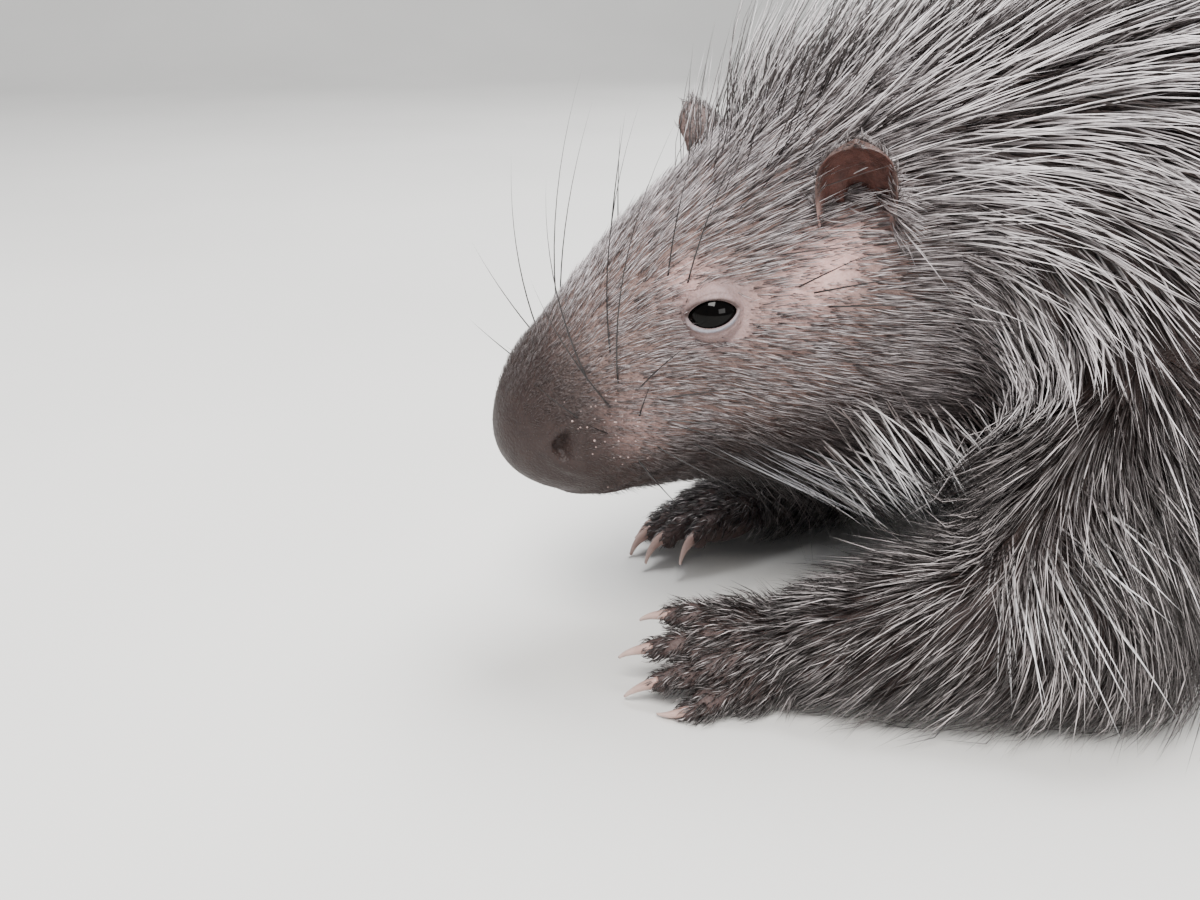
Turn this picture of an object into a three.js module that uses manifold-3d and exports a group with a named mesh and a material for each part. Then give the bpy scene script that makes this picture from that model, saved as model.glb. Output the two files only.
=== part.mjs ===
// A life-size still model of an adult Malayan porcupine, crouched low over its food: the head is
// held down and turned a little to the left, and the left forearm lies forward beside the chin.
// Millimetres, +Z up. The nose points to -X and the left side faces -Y. The spine runs through
// stations measured from the nose tip, and every lock, quill, leg and sense organ is placed from it.

import * as THREE from "three";
import { mergeVertices } from "three/addons/utils/BufferGeometryUtils.js";
import Module from "manifold-3d";

const wasm = await Module();
wasm.setup();

// Driving dimensions
const GAP = 0.3; // kept between neighbouring pieces
const DEG = Math.PI / 180;

const NOSE = new THREE.Vector3(1, -14, 80); // start of the head's axis, the floor is z = 0
const HEAD_TILT = 25; // degrees that the head's axis rises towards the neck
const HEAD_TURN = 6; // degrees that the nose is turned to the left
const HEAD_LENGTH = 150; // along the head's axis, from the nose to the cut behind the ears
const NECK_END = 196; // spine station of the cut between neck and torso
const BODY_END = 682; // spine station of the rump
const MUZZLE_ROUND = 24; // length over which the muzzle's front rounds off
const RUMP_ROUND = 92; // the same at the rump

// Head sections: station, place along the head's axis, half width, height above the axis and depth below
const HEAD = [
  [0, -7, 24, 22.5, 22.5],
  [20, 16.5, 27.5, 28.5, 28],
  [38, 37, 31, 36, 36.5],
  [55, 55, 35.5, 43, 45],
  [71, 71, 41.5, 48, 56],
  [98, 98, 49, 54.5, 71],
  [119, 119, 54, 57.5, 83],
  [142, 142, 60, 59, 95],
];

// Trunk sections: station, x, z, tilt of the section, half width, height above and depth below
const TRUNK = [
  [178, 165, 146, 19, 73, 62, 108],
  [216, 202, 138, 12, 85, 78, 115],
  [276, 262, 124, 6, 95, 93, 112],
  [356, 342, 117, 2, 101, 104, 102],
  [446, 432, 118, 0, 104, 112, 102],
  [526, 512, 116, -5, 101, 112, 97],
  [596, 582, 103, -14, 88, 98, 80],
  [648, 633, 88, -22, 71, 78, 62],
  [682, 664, 75, -26, 60, 62, 52],
];

const SECTION_POWER = 2.15; // a shade squarer than an ellipse

// Swellings and hollows of the head: station, angle from the top, reach in mm, reach in degrees, height
const RELIEF = [
  { s: 30, a: 98, along: 15, round: 30, high: 2.2 }, // whisker pad
  { s: 67, a: 65, along: 13, round: 17, high: -2.2 }, // eye socket
  { s: 70, a: 42, along: 16, round: 13, high: 1.8 }, // brow
  { s: 104, a: 108, along: 26, round: 34, high: 3.5 }, // cheek
];

// Eye: place of its middle, radius and how far that lies below the skin, thickness of the lids, half sizes
// of the opening and its slant against the head's axis
const EYE = { s: 68, a: 63, radius: 8.8, under: 3.5, lid: 1.3, wide: 7.6, high: 4.7, slant: 20 };

// Ear: root station and angle, height above and below the skin, half width, depth of the cup, thickness
// of its wall, how far its edges lie below the tip and how far the tip bends outward
const EAR = { s: 115, a: 71, high: 33, root: 9, wide: 12, cup: 9, wall: 1.9, shoulder: 2, bend: 3 };

// Nostril: place, half sizes of the pit, how far the rim's middle lies below the skin and its half sizes
const NOSTRIL = {
  s: 14,
  a: 83,
  long: 5.2,
  wide: 2.2,
  deep: 5,
  rim: { under: 3, high: 8.5, deep: 4.6, wide: 6.5 },
};

// Mouth: stations of its front and corner, angle of the corner, radius of the lips and degrees that their
// middles lie off the line, radius of the slit
const MOUTH = { front: 9, corner: 41, corner_angle: 124, lip: 2.6, lip_turn: 9, slit: 1.76 };

// Limbs as rows of x, distance from the middle plane, z and radius
const FORELEG = {
  left: {
    side: -1,
    upper: [
      [232, 52, 114, 38],
      [205, 69, 80, 40],
      [168, 83, 46, 33],
    ],
    lower: [
      [176, 86, 31, 32],
      [136, 78, 26, 26],
      [92, 66, 19.5, 18.5],
    ],
    paw: { at: [65, 58, 15.5], ahead: [-1, 0.1, -0.02], roll: 38 },
  },
  right: {
    side: 1,
    upper: [
      [240, 52, 114, 38],
      [222, 69, 79, 39],
      [192, 85, 45, 32],
    ],
    lower: [
      [198, 87, 30, 30],
      [158, 80, 23, 24],
      [120, 62, 16.5, 16.5],
    ],
    paw: { at: [95, 52, 13], ahead: [-1, 0.22, -0.02], roll: 12 },
  },
};
const HINDLEG = {
  upper: [
    [528, 52, 96, 44],
    [494, 72, 70, 47],
    [456, 86, 45, 34],
  ],
  lower: [
    [456, 86, 42, 32],
    [496, 94, 24, 22],
    [532, 94, 15, 16.5],
  ],
  foot: { at: [470, 99, 9.5], heel: [536, 95, 12], ahead: [-1, -0.06, 0], roll: 0 },
};

// Fore and hind foot: half sizes of the palm, number, length and radius of the digits, degrees that the
// outer digits turn away from the middle
const PAW = {
  half_long: 20,
  half_wide: 18.5,
  half_thick: 11,
  digits: 4,
  digit_long: 17,
  digit_radius: 5,
  fan: 16,
};
const FOOT = {
  half_long: 24,
  half_wide: 19,
  half_thick: 11,
  digits: 5,
  digit_long: 17,
  digit_radius: 5,
  fan: 11,
};
const CLAW = { long: 12, radius: 3.1, tip: 0.8, bend: 34 };

// Bristly coat of neck, shoulders and flanks, in locks: stations from, to and step between rows,
// angles from and to, length at both ends, width and the height of the tips above the skin
const LOCK = { thick: 3.2, sunk: 5, seed: 7 };
const COAT = {
  neck: {
    from: 166,
    to: 176,
    step: 10,
    low: 0,
    high: 136,
    long: [42, 50],
    wide: 34,
    rise: 13,
    over: 8,
  },
  shoulder: {
    from: 213,
    to: 374,
    step: 46,
    low: 0,
    high: 122,
    long: [72, 90],
    wide: 40,
    rise: 16,
    over: 2,
  },
  flank: {
    from: 416,
    to: 592,
    step: 48,
    low: 76,
    high: 122,
    long: [92, 78],
    wide: 40,
    rise: 16,
    over: 2,
  },
};
const DROOP = 46; // degrees that the coat on the sides hangs below the line of the back

// Quills of the back: the same, with the angle that they stand off the skin
const QUILL = { thick: 4.8, sunk: 8, seed: 21, stray: 0.05, droop: 22 };
const QUILLS = {
  from: 336,
  to: 640,
  step: 27,
  high: [66, 112],
  apart: 27,
  long: [105, 200],
  lift: [16, 15],
};

// Tail, and the short white rattle quills on it
const TAIL = { root: [648, 0, 84], tip: [722, 0, 42], thick: 25, thin: 12 };
const RATTLE = { rows: 2, around: 4, long: 46, thick: 6, seed: 5 };

const material = (color, roughness) => new THREE.MeshStandardMaterial({ color, roughness, metalness: 0 });
const MATERIALS = {
  skin: material(0x6a5a55, 0.75),
  coat: material(0x3a302d, 0.6),
  quills: material(0xcfc8bd, 0.45),
  eye: material(0x0a0808, 0.1),
  claw: material(0xb98f84, 0.4),
};

// Small helpers

// Seeded random numbers between 0 and 1
function seeded(seed) {
  let state = seed;
  return () => {
    state = (state * 1664525 + 1013904223) % 4294967296;
    return state / 4294967296;
  };
}

// Smooth curve through the rows of a table that never overshoots; column 0 holds the places
function along(table, column, place) {
  const last = table.length - 1;
  const x = (i) => table[i][0];
  const y = (i) => table[i][column];
  if (place <= x(0)) return y(0);
  if (place >= x(last)) return y(last);
  let i = 0;
  while (place > x(i + 1)) i++;
  const slope = (k) => (y(k + 1) - y(k)) / (x(k + 1) - x(k));
  const tangent = (k) => {
    if (k === 0) return slope(0);
    if (k === last) return slope(last - 1);
    const [a, b] = [slope(k - 1), slope(k)];
    return a * b <= 0 ? 0 : (2 * a * b) / (a + b);
  };
  const h = x(i + 1) - x(i);
  const t = (place - x(i)) / h;
  const [t2, t3] = [t * t, t * t * t];
  return (
    (2 * t3 - 3 * t2 + 1) * y(i) +
    (t3 - 2 * t2 + t) * h * tangent(i) +
    (3 * t2 - 2 * t3) * y(i + 1) +
    (t3 - t2) * h * tangent(i + 1)
  );
}

const bluntness = (share) => Math.sqrt(Math.max(0, 1 - (1 - Math.min(1, share)) ** 2));

// The spine as one table: station, x, y, z, tilt, turn, half width, up, down
function spineTable() {
  const forward = Math.cos(HEAD_TILT * DEG);
  const head = HEAD.map(([s, place, wide, up, down]) => [
    s,
    NOSE.x + place * forward * Math.cos(HEAD_TURN * DEG),
    NOSE.y + place * forward * Math.sin(HEAD_TURN * DEG),
    NOSE.z + place * Math.sin(HEAD_TILT * DEG),
    HEAD_TILT,
    HEAD_TURN,
    wide,
    up,
    down,
  ]);
  const trunk = TRUNK.map(([s, x, z, tilt, wide, up, down]) => [s, x, 0, z, tilt, 0, wide, up, down]);
  return [...head, ...trunk];
}
const SPINE = spineTable();

// Middle and axes of the section at a station: back points to the tail, up and left across it
function section(s) {
  const tilt = along(SPINE, 4, s) * DEG;
  const turn = along(SPINE, 5, s) * DEG;
  const round = bluntness(s / MUZZLE_ROUND) * bluntness((BODY_END - s) / RUMP_ROUND);
  const way = new THREE.Vector3(Math.cos(turn), Math.sin(turn), 0);
  return {
    middle: new THREE.Vector3(along(SPINE, 1, s), along(SPINE, 2, s), along(SPINE, 3, s)),
    back: way.clone().multiplyScalar(Math.cos(tilt)).setZ(Math.sin(tilt)),
    up: way.clone().multiplyScalar(-Math.sin(tilt)).setZ(Math.cos(tilt)),
    left: new THREE.Vector3(way.y, -way.x, 0),
    wide: along(SPINE, 6, s) * round,
    high: along(SPINE, 7, s) * round,
    low: along(SPINE, 8, s) * round,
  };
}

function relief(s, angle) {
  let sum = 0;
  for (const r of RELIEF) {
    const ds = (s - r.s) / r.along;
    const da = (Math.abs(angle) - r.a) / r.round;
    sum += r.high * Math.exp(-(ds * ds + da * da));
  }
  return sum;
}

// Point of the body at a station and an angle from the top, positive to the left, lift mm outside it
function bodyPoint(s, angle, lift = 0) {
  const at = section(s);
  const [side, rise] = [Math.sin(angle * DEG), Math.cos(angle * DEG)];
  const bend = (v) => Math.sign(v) * Math.abs(v) ** (2 / SECTION_POWER);
  const half = rise > 0 ? at.high : at.low;
  const [x, y] = [at.wide * bend(side), half * bend(rise)];
  const nx = side / Math.max(at.wide, 1);
  const ny = rise / Math.max(half, 1);
  const out = (lift + relief(s, angle)) / Math.hypot(nx, ny);
  return at.middle
    .clone()
    .addScaledVector(at.left, x + nx * out)
    .addScaledVector(at.up, y + ny * out);
}

// Outward direction of the body there
function bodyNormal(s, angle) {
  const a = bodyPoint(s + 2, angle).sub(bodyPoint(s - 2, angle));
  const b = bodyPoint(s, angle + 2).sub(bodyPoint(s, angle - 2));
  return a.cross(b).negate().normalize();
}

// Closed solid through rings of points, flat at both ends or drawn to a point at the last
function solidFromRings(rings, apex = null) {
  const sides = rings[0].length;
  const positions = rings.flat().flatMap((p) => [p.x, p.y, p.z]);
  const index = [];
  for (let i = 0; i + 1 < rings.length; i++) {
    for (let j = 0; j < sides; j++) {
      const a = i * sides + j;
      const b = i * sides + ((j + 1) % sides);
      index.push(a, b, a + sides, b, b + sides, a + sides);
    }
  }
  const last = (rings.length - 1) * sides;
  for (let j = 1; j + 1 < sides; j++) {
    index.push(0, j + 1, j);
    if (!apex) index.push(last, last + j, last + j + 1);
  }
  if (apex) {
    positions.push(apex.x, apex.y, apex.z);
    for (let j = 0; j < sides; j++) index.push(last + j, last + ((j + 1) % sides), last + sides);
  }
  const geometry = new THREE.BufferGeometry()
    .setAttribute("position", new THREE.Float32BufferAttribute(positions, 3))
    .setIndex(index);
  return solidFrom(geometry);
}

// A three.js geometry as a solid that can be joined and cut
function solidFrom(geometry) {
  const plain = geometry.clone();
  plain.deleteAttribute("normal");
  plain.deleteAttribute("uv");
  const merged = mergeVertices(plain, 1e-4);
  const make = (triVerts) =>
    new wasm.Manifold(
      new wasm.Mesh({ numProp: 3, vertProperties: merged.attributes.position.array, triVerts }),
    );
  const triVerts = new Uint32Array(merged.index.array);
  const solid = make(triVerts);
  return solid.volume() > 0 ? solid : make(triVerts.reverse());
}

const join = (solids) => wasm.Manifold.union(solids);

// The largest closed surface of a solid
function largest(solid) {
  const shells = solid.decompose().sort((a, b) => b.volume() - a.volume());
  return shells[0];
}

// Stretch of the body between two stations, grown by a margin
function bodyLength(from, to, rows, sides, margin = 0) {
  const rings = [];
  for (let i = 0; i <= rows; i++) {
    const s = from - margin + ((to - from + 2 * margin) * i) / rows;
    rings.push(
      Array.from({ length: sides }, (_, j) => bodyPoint(Math.max(s, 0.05), (360 * j) / sides, margin)),
    );
  }
  return solidFromRings(rings);
}

// Round solid along a line of [x, y, z, radius] rows, with domed ends
function limb(rows, sides = 12, margin = 0) {
  const curve = new THREE.CatmullRomCurve3(rows.map(([x, y, z]) => new THREE.Vector3(x, y, z)));
  const radii = rows.map((row, i) => [i / (rows.length - 1), row[3] + margin]);
  const steps = (rows.length - 1) * 2;
  const ring = (t, radius, shift) => {
    const ahead = curve.getTangent(t);
    const side = new THREE.Vector3(0, 0, 1).cross(ahead).normalize();
    const middle = curve.getPoint(t).addScaledVector(ahead, shift);
    return circle(middle, side, ahead.clone().cross(side), radius, sides);
  };
  const dome = (t, radius, way) => ring(t, radius * 0.6, way * radius * 0.8);
  const [start, end] = [radii[0][1], radii[radii.length - 1][1]];
  const rings = [dome(0, start, -1)];
  for (let i = 0; i <= steps; i++) rings.push(ring(i / steps, along(radii, 1, i / steps), 0));
  rings.push(dome(1, end, 1));
  return solidFromRings(rings);
}

function circle(middle, side, up, radius, sides) {
  return Array.from({ length: sides }, (_, j) => {
    const turn = (2 * Math.PI * j) / sides;
    return middle
      .clone()
      .addScaledVector(side, radius * Math.cos(turn))
      .addScaledVector(up, radius * Math.sin(turn));
  });
}

// Ellipsoid at a place, its own axes along the given directions
function ellipsoid(at, lengthwise, across, sizes, detail = [16, 10]) {
  const x = lengthwise.clone().normalize();
  const z = x.clone().cross(across).normalize();
  const y = z.clone().cross(x);
  const matrix = new THREE.Matrix4().makeBasis(x, y, z).scale(new THREE.Vector3(...sizes)).setPosition(at);
  return solidFrom(new THREE.SphereGeometry(1, ...detail).applyMatrix4(matrix));
}

// Everything within reach beyond a plane, as a block to cut with
function beyond(at, normal, reach = 320) {
  const up = new THREE.Vector3(0, 0, 1);
  const turn = new THREE.Quaternion().setFromUnitVectors(up, normal.clone().normalize());
  const block = new THREE.BoxGeometry(reach, reach, reach);
  block.translate(0, 0, reach / 2);
  block.applyQuaternion(turn);
  block.translate(at.x, at.y, at.z);
  return solidFrom(block);
}

const FLOOR_CUT = beyond(new THREE.Vector3(330, 0, 0), new THREE.Vector3(0, 0, -1), 1200);

// Nearest place on a limb's middle line: how far outside its surface a point is, and the way out
function outsideLimb(point, rows) {
  let nearest = { clear: Infinity };
  for (let i = 0; i + 1 < rows.length; i++) {
    const a = new THREE.Vector3(...rows[i]);
    const b = new THREE.Vector3(...rows[i + 1]);
    const line = b.clone().sub(a);
    const t = THREE.MathUtils.clamp(point.clone().sub(a).dot(line) / line.lengthSq(), 0, 1);
    const away = point.clone().sub(a.addScaledVector(line, t));
    const clear = away.length() - THREE.MathUtils.lerp(rows[i][3], rows[i + 1][3], t);
    if (clear < nearest.clear) nearest = { clear, away: away.normalize() };
  }
  return nearest;
}

// The point moved out of every limb by a margin
function clearOfLimbs(point, limbs, margin) {
  const moved = point.clone();
  for (const rows of limbs) {
    const { clear, away } = outsideLimb(moved, rows);
    if (clear < margin) moved.addScaledVector(away, margin - clear);
  }
  return moved;
}

// Flat tapered lock with a ridge, through the points of its middle line, the last one its tip
function lock(points, normals, wide, thick) {
  const widths = [0.8, 1, 0.5];
  const depths = [1, 0.9, 0.6];
  const rings = points.slice(0, -1).map((p, i) => {
    const ahead = points[i + 1].clone().sub(points[Math.max(0, i - 1)]).normalize();
    const across = ahead.clone().cross(normals[i]).normalize();
    const lift = across.clone().cross(ahead).normalize();
    if (lift.dot(normals[i]) < 0) lift.negate();
    const half = (wide / 2) * widths[i];
    const edge = (way) => p.clone().addScaledVector(across, way * half).addScaledVector(lift, -thick * 0.3);
    return [edge(1), p.clone().addScaledVector(lift, thick * 0.7 * depths[i]), edge(-1)];
  });
  return solidFromRings(rings, points[points.length - 1]);
}

// Three-sided spine, thickest a third of the way out
function spine(root, tip, thick) {
  const ahead = tip.clone().sub(root).normalize();
  const side = new THREE.Vector3(0, 0, 1).cross(ahead).normalize();
  const lift = ahead.clone().cross(side);
  const ring = (t, share) => circle(root.clone().lerp(tip, t), side, lift, (thick / 2) * share, 3);
  return solidFromRings([ring(0, 0.6), ring(0.36, 1)], tip);
}

// Head

function eyeFrame(side) {
  const at = bodyPoint(EYE.s, EYE.a * side);
  const normal = bodyNormal(EYE.s, EYE.a * side);
  const middle = at.clone().addScaledVector(normal, -EYE.under);
  return { middle, normal };
}

// The opening between the lids, an almond drawn through the head's side
function eyeOpening({ middle, normal }, side) {
  const back = section(EYE.s).back.clone();
  back.addScaledVector(normal, -back.dot(normal)).normalize();
  back.applyAxisAngle(normal, -EYE.slant * DEG * side);
  return ellipsoid(middle.clone().addScaledVector(normal, EYE.radius), back, normal.clone().cross(back), [
    EYE.wide,
    EYE.high,
    EYE.radius * 0.95,
  ], [10, 6]);
}

function eyeBall({ middle }, margin = 0) {
  const r = EYE.radius + margin;
  return ellipsoid(middle, new THREE.Vector3(1, 0, 0), new THREE.Vector3(0, 0, 1), [r, r, r], [12, 8]);
}

function lidMound({ middle, normal }) {
  const r = EYE.radius + EYE.lid;
  return ellipsoid(middle, section(EYE.s).back, normal, [r * 1.2, r, r * 1.02], [12, 8]);
}

function nostrilPit(side) {
  const at = bodyPoint(NOSTRIL.s, NOSTRIL.a * side, -NOSTRIL.deep * 0.2);
  const normal = bodyNormal(NOSTRIL.s, NOSTRIL.a * side);
  const up = section(NOSTRIL.s).up.clone().addScaledVector(section(NOSTRIL.s).back, -0.35).normalize();
  return ellipsoid(at, up, normal, [NOSTRIL.long, NOSTRIL.deep, NOSTRIL.wide], [8, 6]);
}

function nostrilRim(side) {
  const { under, high, deep, wide } = NOSTRIL.rim;
  const at = bodyPoint(NOSTRIL.s, NOSTRIL.a * side, -under);
  const normal = bodyNormal(NOSTRIL.s, NOSTRIL.a * side);
  return ellipsoid(at, section(NOSTRIL.s).up, normal, [high, deep, wide], [8, 6]);
}

// Points along the mouth on both sides, from the right corner round the front to the left one
function mouthLine(shift, lift) {
  const line = [];
  const steps = 5;
  for (let i = -steps; i <= steps; i++) {
    const t = Math.abs(i) / steps;
    const s = MOUTH.front + (MOUTH.corner - MOUTH.front) * t ** 1.4;
    const angle = 180 - (180 - MOUTH.corner_angle) * Math.sin((t * Math.PI) / 2) + shift;
    line.push(bodyPoint(s, Math.sign(i || 1) * Math.min(angle, 180), lift));
  }
  return line;
}

function rope(points, radius, sides = 4) {
  const rings = points.map((p, i) => {
    const before = points[Math.max(0, i - 1)];
    const after = points[Math.min(points.length - 1, i + 1)];
    const ahead = after.clone().sub(before).normalize();
    const side = new THREE.Vector3(0, 0, 1).cross(ahead).normalize();
    return circle(p, side, ahead.clone().cross(side), radius, sides);
  });
  return solidFromRings(rings);
}

function makeHead() {
  let head = bodyLength(0, HEAD_LENGTH, 22, 28);
  const lips = [-1, 1].map((way) => rope(mouthLine(way * MOUTH.lip_turn, -1), MOUTH.lip));
  const eyes = [1, -1].map((side) => ({ side, frame: eyeFrame(side) }));
  const lids = eyes.map(({ frame }) => lidMound(frame));
  head = join([head, ...lips, ...lids, nostrilRim(1), nostrilRim(-1)]);
  const cuts = [rope(mouthLine(0, 0.8), MOUTH.slit), nostrilPit(1), nostrilPit(-1)];
  for (const { side, frame } of eyes) cuts.push(eyeBall(frame, GAP), eyeOpening(frame, side));
  return head.subtract(join(cuts));
}

// Ear: a spoon-shaped shell, its hollow facing forward and outward
function makeEar(side) {
  const root = bodyPoint(EAR.s, EAR.a * side, -EAR.root);
  const at = section(EAR.s);
  const left = at.left.clone().multiplyScalar(side);
  const mixed = (a, b, c) =>
    at.up.clone().multiplyScalar(a).addScaledVector(left, b).addScaledVector(at.back, c);
  const rise = mixed(0.9, 0.3, 0.12).normalize();
  const face = mixed(-0.1, 0.82, -0.57);
  face.addScaledVector(rise, -face.dot(rise)).normalize();
  const across = rise.clone().cross(face).multiplyScalar(side).normalize();
  const [columns, rows] = [8, 8];
  const full = EAR.high + EAR.root;
  const point = (i, j, back) => {
    const u = (2 * i) / columns - 1;
    const v = j / rows;
    const half = EAR.wide * (0.8 + 0.2 * Math.sin(Math.PI * v * 0.75)) * Math.sqrt(1 - v ** 8 * 0.93);
    const hollow = -EAR.cup * (1 - u * u) * (1 - v ** 3);
    return root
      .clone()
      .addScaledVector(across, u * half)
      .addScaledVector(rise, v * full - EAR.shoulder * u * u * v)
      .addScaledVector(face, hollow + EAR.bend * v * v - (back ? EAR.wall : 0));
  };
  const positions = [];
  const index = [];
  const id = (i, j, back) => (back * (rows + 1) + j) * (columns + 1) + i;
  for (const back of [0, 1])
    for (let j = 0; j <= rows; j++)
      for (let i = 0; i <= columns; i++) positions.push(...point(i, j, back).toArray());
  const quad = (a, b, c, d) => index.push(a, b, c, a, c, d);
  for (let j = 0; j < rows; j++)
    for (let i = 0; i < columns; i++) {
      quad(id(i, j, 0), id(i + 1, j, 0), id(i + 1, j + 1, 0), id(i, j + 1, 0));
      quad(id(i, j + 1, 1), id(i + 1, j + 1, 1), id(i + 1, j, 1), id(i, j, 1));
    }
  for (let i = 0; i < columns; i++) {
    quad(id(i, 0, 1), id(i + 1, 0, 1), id(i + 1, 0, 0), id(i, 0, 0));
    quad(id(i, rows, 0), id(i + 1, rows, 0), id(i + 1, rows, 1), id(i, rows, 1));
  }
  for (let j = 0; j < rows; j++) {
    quad(id(0, j, 0), id(0, j + 1, 0), id(0, j + 1, 1), id(0, j, 1));
    quad(id(columns, j, 1), id(columns, j + 1, 1), id(columns, j + 1, 0), id(columns, j, 0));
  }
  const geometry = new THREE.BufferGeometry()
    .setAttribute("position", new THREE.Float32BufferAttribute(positions, 3))
    .setIndex(index);
  return largest(solidFrom(geometry).subtract(bodyLength(0, HEAD_LENGTH, 22, 28, GAP)));
}

// Legs

const rowsOn = (side, rows) => rows.map(([x, y, z, r]) => [x, y * side, z, r]);

// Axes of a foot: ahead to the toes, across to the animal's middle and up
function footAxes({ ahead, roll }, side) {
  const a = new THREE.Vector3(ahead[0], ahead[1] * -side, ahead[2]).normalize();
  const turn = roll * DEG;
  const across = new THREE.Vector3(0, -side * Math.cos(turn), Math.sin(turn));
  across.addScaledVector(a, -across.dot(a)).normalize();
  const up = a.clone().cross(across).normalize();
  if (up.z < 0) up.negate();
  return { ahead: a, across, up };
}

// Digits of a foot: where each starts, its direction and its length
function digitPlan(size, place, side) {
  const axes = footAxes(place, side);
  const middle = new THREE.Vector3(place.at[0], place.at[1] * side, place.at[2]);
  return Array.from({ length: size.digits }, (_, i) => {
    const t = i / (size.digits - 1) - 0.5;
    const turn = 2 * t * size.fan * DEG;
    const direction = axes.ahead
      .clone()
      .multiplyScalar(Math.cos(turn))
      .addScaledVector(axes.across, Math.sin(turn))
      .addScaledVector(axes.up, -0.1)
      .normalize();
    const long = size.digit_long * (1 - 0.9 * t * t);
    const start = middle
      .clone()
      .addScaledVector(axes.ahead, size.half_long * (0.72 - 1.1 * t * t))
      .addScaledVector(axes.across, 2 * t * (size.half_wide - size.digit_radius))
      .addScaledVector(axes.up, -1);
    return { start, direction, up: axes.up, long, end: start.clone().addScaledVector(direction, long) };
  });
}

function digit({ start, direction, up, long }, radius) {
  const side = up.clone().cross(direction).normalize();
  const lift = direction.clone().cross(side);
  const rings = [
    [-0.2, 1],
    [0.6, 1.02],
    [1, 0.7],
  ].map(([t, share]) =>
    circle(start.clone().addScaledVector(direction, t * long), side, lift, radius * share, 5),
  );
  return solidFromRings(rings);
}

function claw({ direction, up, end }) {
  const side = up.clone().cross(direction).normalize();
  const lift = direction.clone().cross(side);
  const at = end.clone().addScaledVector(direction, GAP);
  const rings = [0, 0.4, 0.75].map((t) => {
    const turn = CLAW.bend * t * DEG;
    const ahead = direction.clone().multiplyScalar(Math.cos(turn)).addScaledVector(lift, -Math.sin(turn));
    const middle = at.clone().addScaledVector(ahead, t * CLAW.long);
    const radius = CLAW.radius + (CLAW.tip - CLAW.radius) * t;
    return circle(middle, side, ahead.clone().cross(side), radius, 5);
  });
  const turn = CLAW.bend * DEG;
  const apex = at
    .clone()
    .addScaledVector(direction, CLAW.long * Math.cos(turn))
    .addScaledVector(lift, -CLAW.long * Math.sin(turn));
  return solidFromRings(rings, apex).subtract(FLOOR_CUT);
}

function makeFoot(size, place, side, ankle) {
  const { ahead, across, up } = footAxes(place, side);
  const middle = new THREE.Vector3(place.at[0], place.at[1] * side, place.at[2]);
  const palm = [size.half_long, size.half_wide, size.half_thick];
  const pieces = [ellipsoid(middle, ahead, across, palm, [10, 6])];
  const behind = middle.clone().addScaledVector(up, 1);
  pieces.push(
    limb(
      [
        [ankle[0], ankle[1] * side, ankle[2], size.half_thick * 1.25],
        [behind.x, behind.y, behind.z, size.half_thick * 1.02],
      ],
      8,
    ),
  );
  for (const plan of digitPlan(size, place, side)) pieces.push(digit(plan, size.digit_radius));
  return join(pieces).subtract(FLOOR_CUT);
}

function makeLeg(name, end, side, parts, size, place, ankle) {
  const upperRows = rowsOn(side, parts.upper);
  const lowerRows = rowsOn(side, parts.lower);
  const upper = limb(upperRows).subtract(FLOOR_CUT);
  const lower = limb(lowerRows).subtract(join([limb(upperRows, 12, GAP), FLOOR_CUT]));
  const grownUpper = limb(upperRows, 12, GAP);
  const grownLower = limb(lowerRows, 12, GAP);
  const foot = makeFoot(size, place, side, ankle).subtract(join([grownLower, grownUpper]));
  const which = side < 0 ? "left" : "right";
  const [upperName, lowerName, footName] = name;
  return {
    rows: [upperRows, lowerRows],
    grown: join([grownUpper, grownLower]),
    add() {
      addNode(`${upperName}_${which}`, largest(upper), "coat");
      addNode(`${lowerName}_${which}`, largest(lower), "coat");
      addNode(`${footName}_${which}`, largest(foot), "skin");
      digitPlan(size, place, side).forEach((plan, i) =>
        addNode(`${end}_claw_${which}_${i + 1}`, largest(claw(plan)), "claw"),
      );
    },
  };
}

function foreleg({ side, upper, lower, paw }) {
  const ankle = lower[lower.length - 1];
  return makeLeg(["upper_arm", "forearm", "forepaw"], "fore", side, { upper, lower }, PAW, paw, ankle);
}

function hindleg(side) {
  const { upper, lower, foot } = HINDLEG;
  return makeLeg(["thigh", "shank", "hind_foot"], "hind", side, { upper, lower }, FOOT, foot, foot.heel);
}

// Assembly
const animal = new THREE.Group();

function addNode(name, solid, look) {
  const mesh = solid.getMesh();
  const geometry = new THREE.BufferGeometry()
    .setAttribute("position", new THREE.BufferAttribute(new Float32Array(mesh.vertProperties), 3))
    .setIndex(new THREE.BufferAttribute(new Uint32Array(mesh.triVerts), 1));
  geometry.computeVertexNormals();
  const piece = new THREE.Mesh(geometry, MATERIALS[look]);
  piece.name = name;
  animal.add(piece);
}

// Coat

const jitter = (random, size) => (random() - 0.5) * 2 * size;

// Places of a staggered field over both sides of the body, jittered: rows half a step apart and
// neighbours in a row two widths apart, so that pieces side by side start at different stations
function field({ from, to, step, low = 0, high }, apart, random) {
  const places = [];
  const rows = Math.round((2 * (to - from)) / step);
  for (let k = 0; k <= rows; k++) {
    const s = from + ((to - from) * k) / rows;
    const turn = (2 * apart) / girthRadius(s) / DEG;
    const end = typeof high === "number" ? high : THREE.MathUtils.lerp(...high, (k / rows) ** 4);
    for (let a = low + (k % 2) * (turn / 2); a <= end; a += turn)
      for (const side of a === 0 ? [1] : [1, -1]) {
        const place = s + jitter(random, step * 0.08);
        places.push({ s: place, a: side * a + jitter(random, turn * 0.05), share: k / rows });
      }
  }
  return places;
}

function girthRadius(s) {
  const { wide, high, low } = section(s);
  return (2 * wide + high + low) / 4;
}

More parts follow.
